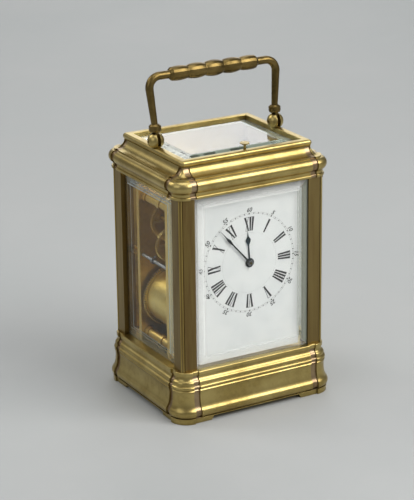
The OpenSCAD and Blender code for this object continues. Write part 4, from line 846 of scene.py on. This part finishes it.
def grip():
    """Lobes that shrink towards both ends of the grip."""
    bm = bmesh.new()
    lobe_len = 2 * GRIP_HALF / LOBES
    neck = LOBE_R * 0.77
    last = LOBES * LOBE_STEPS
    rows = []
    for step in range(last + 1):
        i = min(step // LOBE_STEPS, LOBES - 1)
        t = step / LOBE_STEPS - i
        full = LOBE_R - LOBE_SHRINK * abs(i - (LOBES - 1) / 2)
        edge = GRIP_END_R if step in (0, last) else neck
        rows.append((edge + (full - edge) * max(0.0, math.sin(math.pi * t)) ** 0.8,
                     -GRIP_HALF + (i + t) * lobe_len))
    lathe(bm, rows, grip_centre, "x", FACETS)
    return piece("handle_grip_turned", bm, handle_brass, "handle", ["handle_grip"],
                 sharp=20, bevel=0.22)


grip()


# ---- Materials on the CAD nodes that stay ----

SLOT_OF = {sub["node"]: sub["material_slot"] for sub in frame["record"]["subparts"]}

for name, obj in NODES.items():
    mat = OWN.get(name, SLOTS[SLOT_OF[name]])
    for s in obj.material_slots:
        s.material = mat
    if not obj.material_slots:
        obj.data.materials.append(mat)


# ---- Floor, backdrop, light and camera, in metres ----

def floor():
    """A pale sheet that curves up behind the clock, square to the camera."""
    bm = bmesh.new()
    half_w, front, back, curve, wall = 1.6, -1.4, 0.9, 0.35, 1.6
    line = [(front, 0)] + arc((back, curve), curve, -90, 0, 15) + [(back + curve, wall)]
    rows = [[bm.verts.new((x, y, z)) for x in (-half_w, half_w)] for y, z in line]
    for a, b in zip(rows, rows[1:]):
        bm.faces.new((a[0], a[1], b[1], b[0]))
    mesh = bpy.data.meshes.new("floor")
    for f in bm.faces:
        f.smooth = True
    bm.to_mesh(mesh)
    bm.free()
    mesh.materials.append(painted("floor_paper", "#aeb1b1", "#b4b6b6", rough=0.8, scale=8))
    obj = link(bpy.data.objects.new("floor", mesh))
    obj.rotation_euler = (0, 0, math.radians(CAM_AZ))


CAM_AZ = -29.578
CAM_EL = 19.320
CAM_ROLL = -0.714
CAM_DIST = 1.0184
CAM_TARGET = Vector((-6.52, 0, 77.86)) * MM
CAM_LENS = 138.5


def bearing(az, el):
    """A direction in degrees; azimuth 0 is in front of the clock and 90 on its right."""
    a, e = math.radians(az), math.radians(el)
    return Vector((math.sin(a) * math.cos(e), -math.cos(a) * math.cos(e), math.sin(e)))


def camera():
    """The photo's camera, turned about its own axis by a small roll."""
    back = bearing(CAM_AZ, CAM_EL)
    data = bpy.data.cameras.new("camera")
    data.sensor_width = 36
    data.lens = CAM_LENS
    data.clip_start = 0.01
    data.clip_end = 20
    cam = link(bpy.data.objects.new("camera", data))
    cam.location = CAM_TARGET + back * CAM_DIST
    cam.rotation_mode = "QUATERNION"
    right = Vector((0, 0, 1)).cross(back).normalized()
    up = back.cross(right)
    roll = math.radians(CAM_ROLL)
    rolled_right = right * math.cos(roll) + up * math.sin(roll)
    rolled_up = -right * math.sin(roll) + up * math.cos(roll)
    cam.rotation_quaternion = Matrix((rolled_right, rolled_up, back)).transposed().to_quaternion()
    bpy.context.scene.camera = cam


MIDDLE = Vector((0, 0, 0.08))


def lamp(name, az, el, dist, size, power, colour=(1, 1, 1), size_y=None):
    """An area lamp round the clock's middle, aimed at it."""
    data = bpy.data.lights.new(name, "AREA")
    data.energy = power
    data.color = colour
    data.size = size
    if size_y:
        data.shape = "RECTANGLE"
        data.size_y = size_y
    obj = link(bpy.data.objects.new(name, data))
    obj.location = MIDDLE + bearing(az, el) * dist
    obj.rotation_mode = "QUATERNION"
    obj.rotation_quaternion = (obj.location - MIDDLE).to_track_quat("Z", "Y")


floor()
camera()
lamp("key", 32, 40, 1.1, size=0.8, power=9, colour=(1.0, 0.985, 0.96), size_y=0.62)
lamp("fill", -75, 32, 1.2, size=0.7, power=1.8, colour=(0.95, 0.98, 1.0))
lamp("rear_left", -138, 40, 1.2, size=0.5, power=3, colour=(1.0, 0.98, 0.94))
lamp("top", 0, 86, 1.0, size=0.7, power=3)
lamp("back", 150, 26, 1.2, size=0.9, power=4)

world = bpy.data.worlds.new("studio")
world.use_nodes = True
background = world.node_tree.nodes["Background"]
background.inputs["Color"].default_value = (0.82, 0.83, 0.84, 1)
background.inputs["Strength"].default_value = 0.3
bpy.context.scene.world = world
bpy.context.scene.view_settings.view_transform = "Standard"
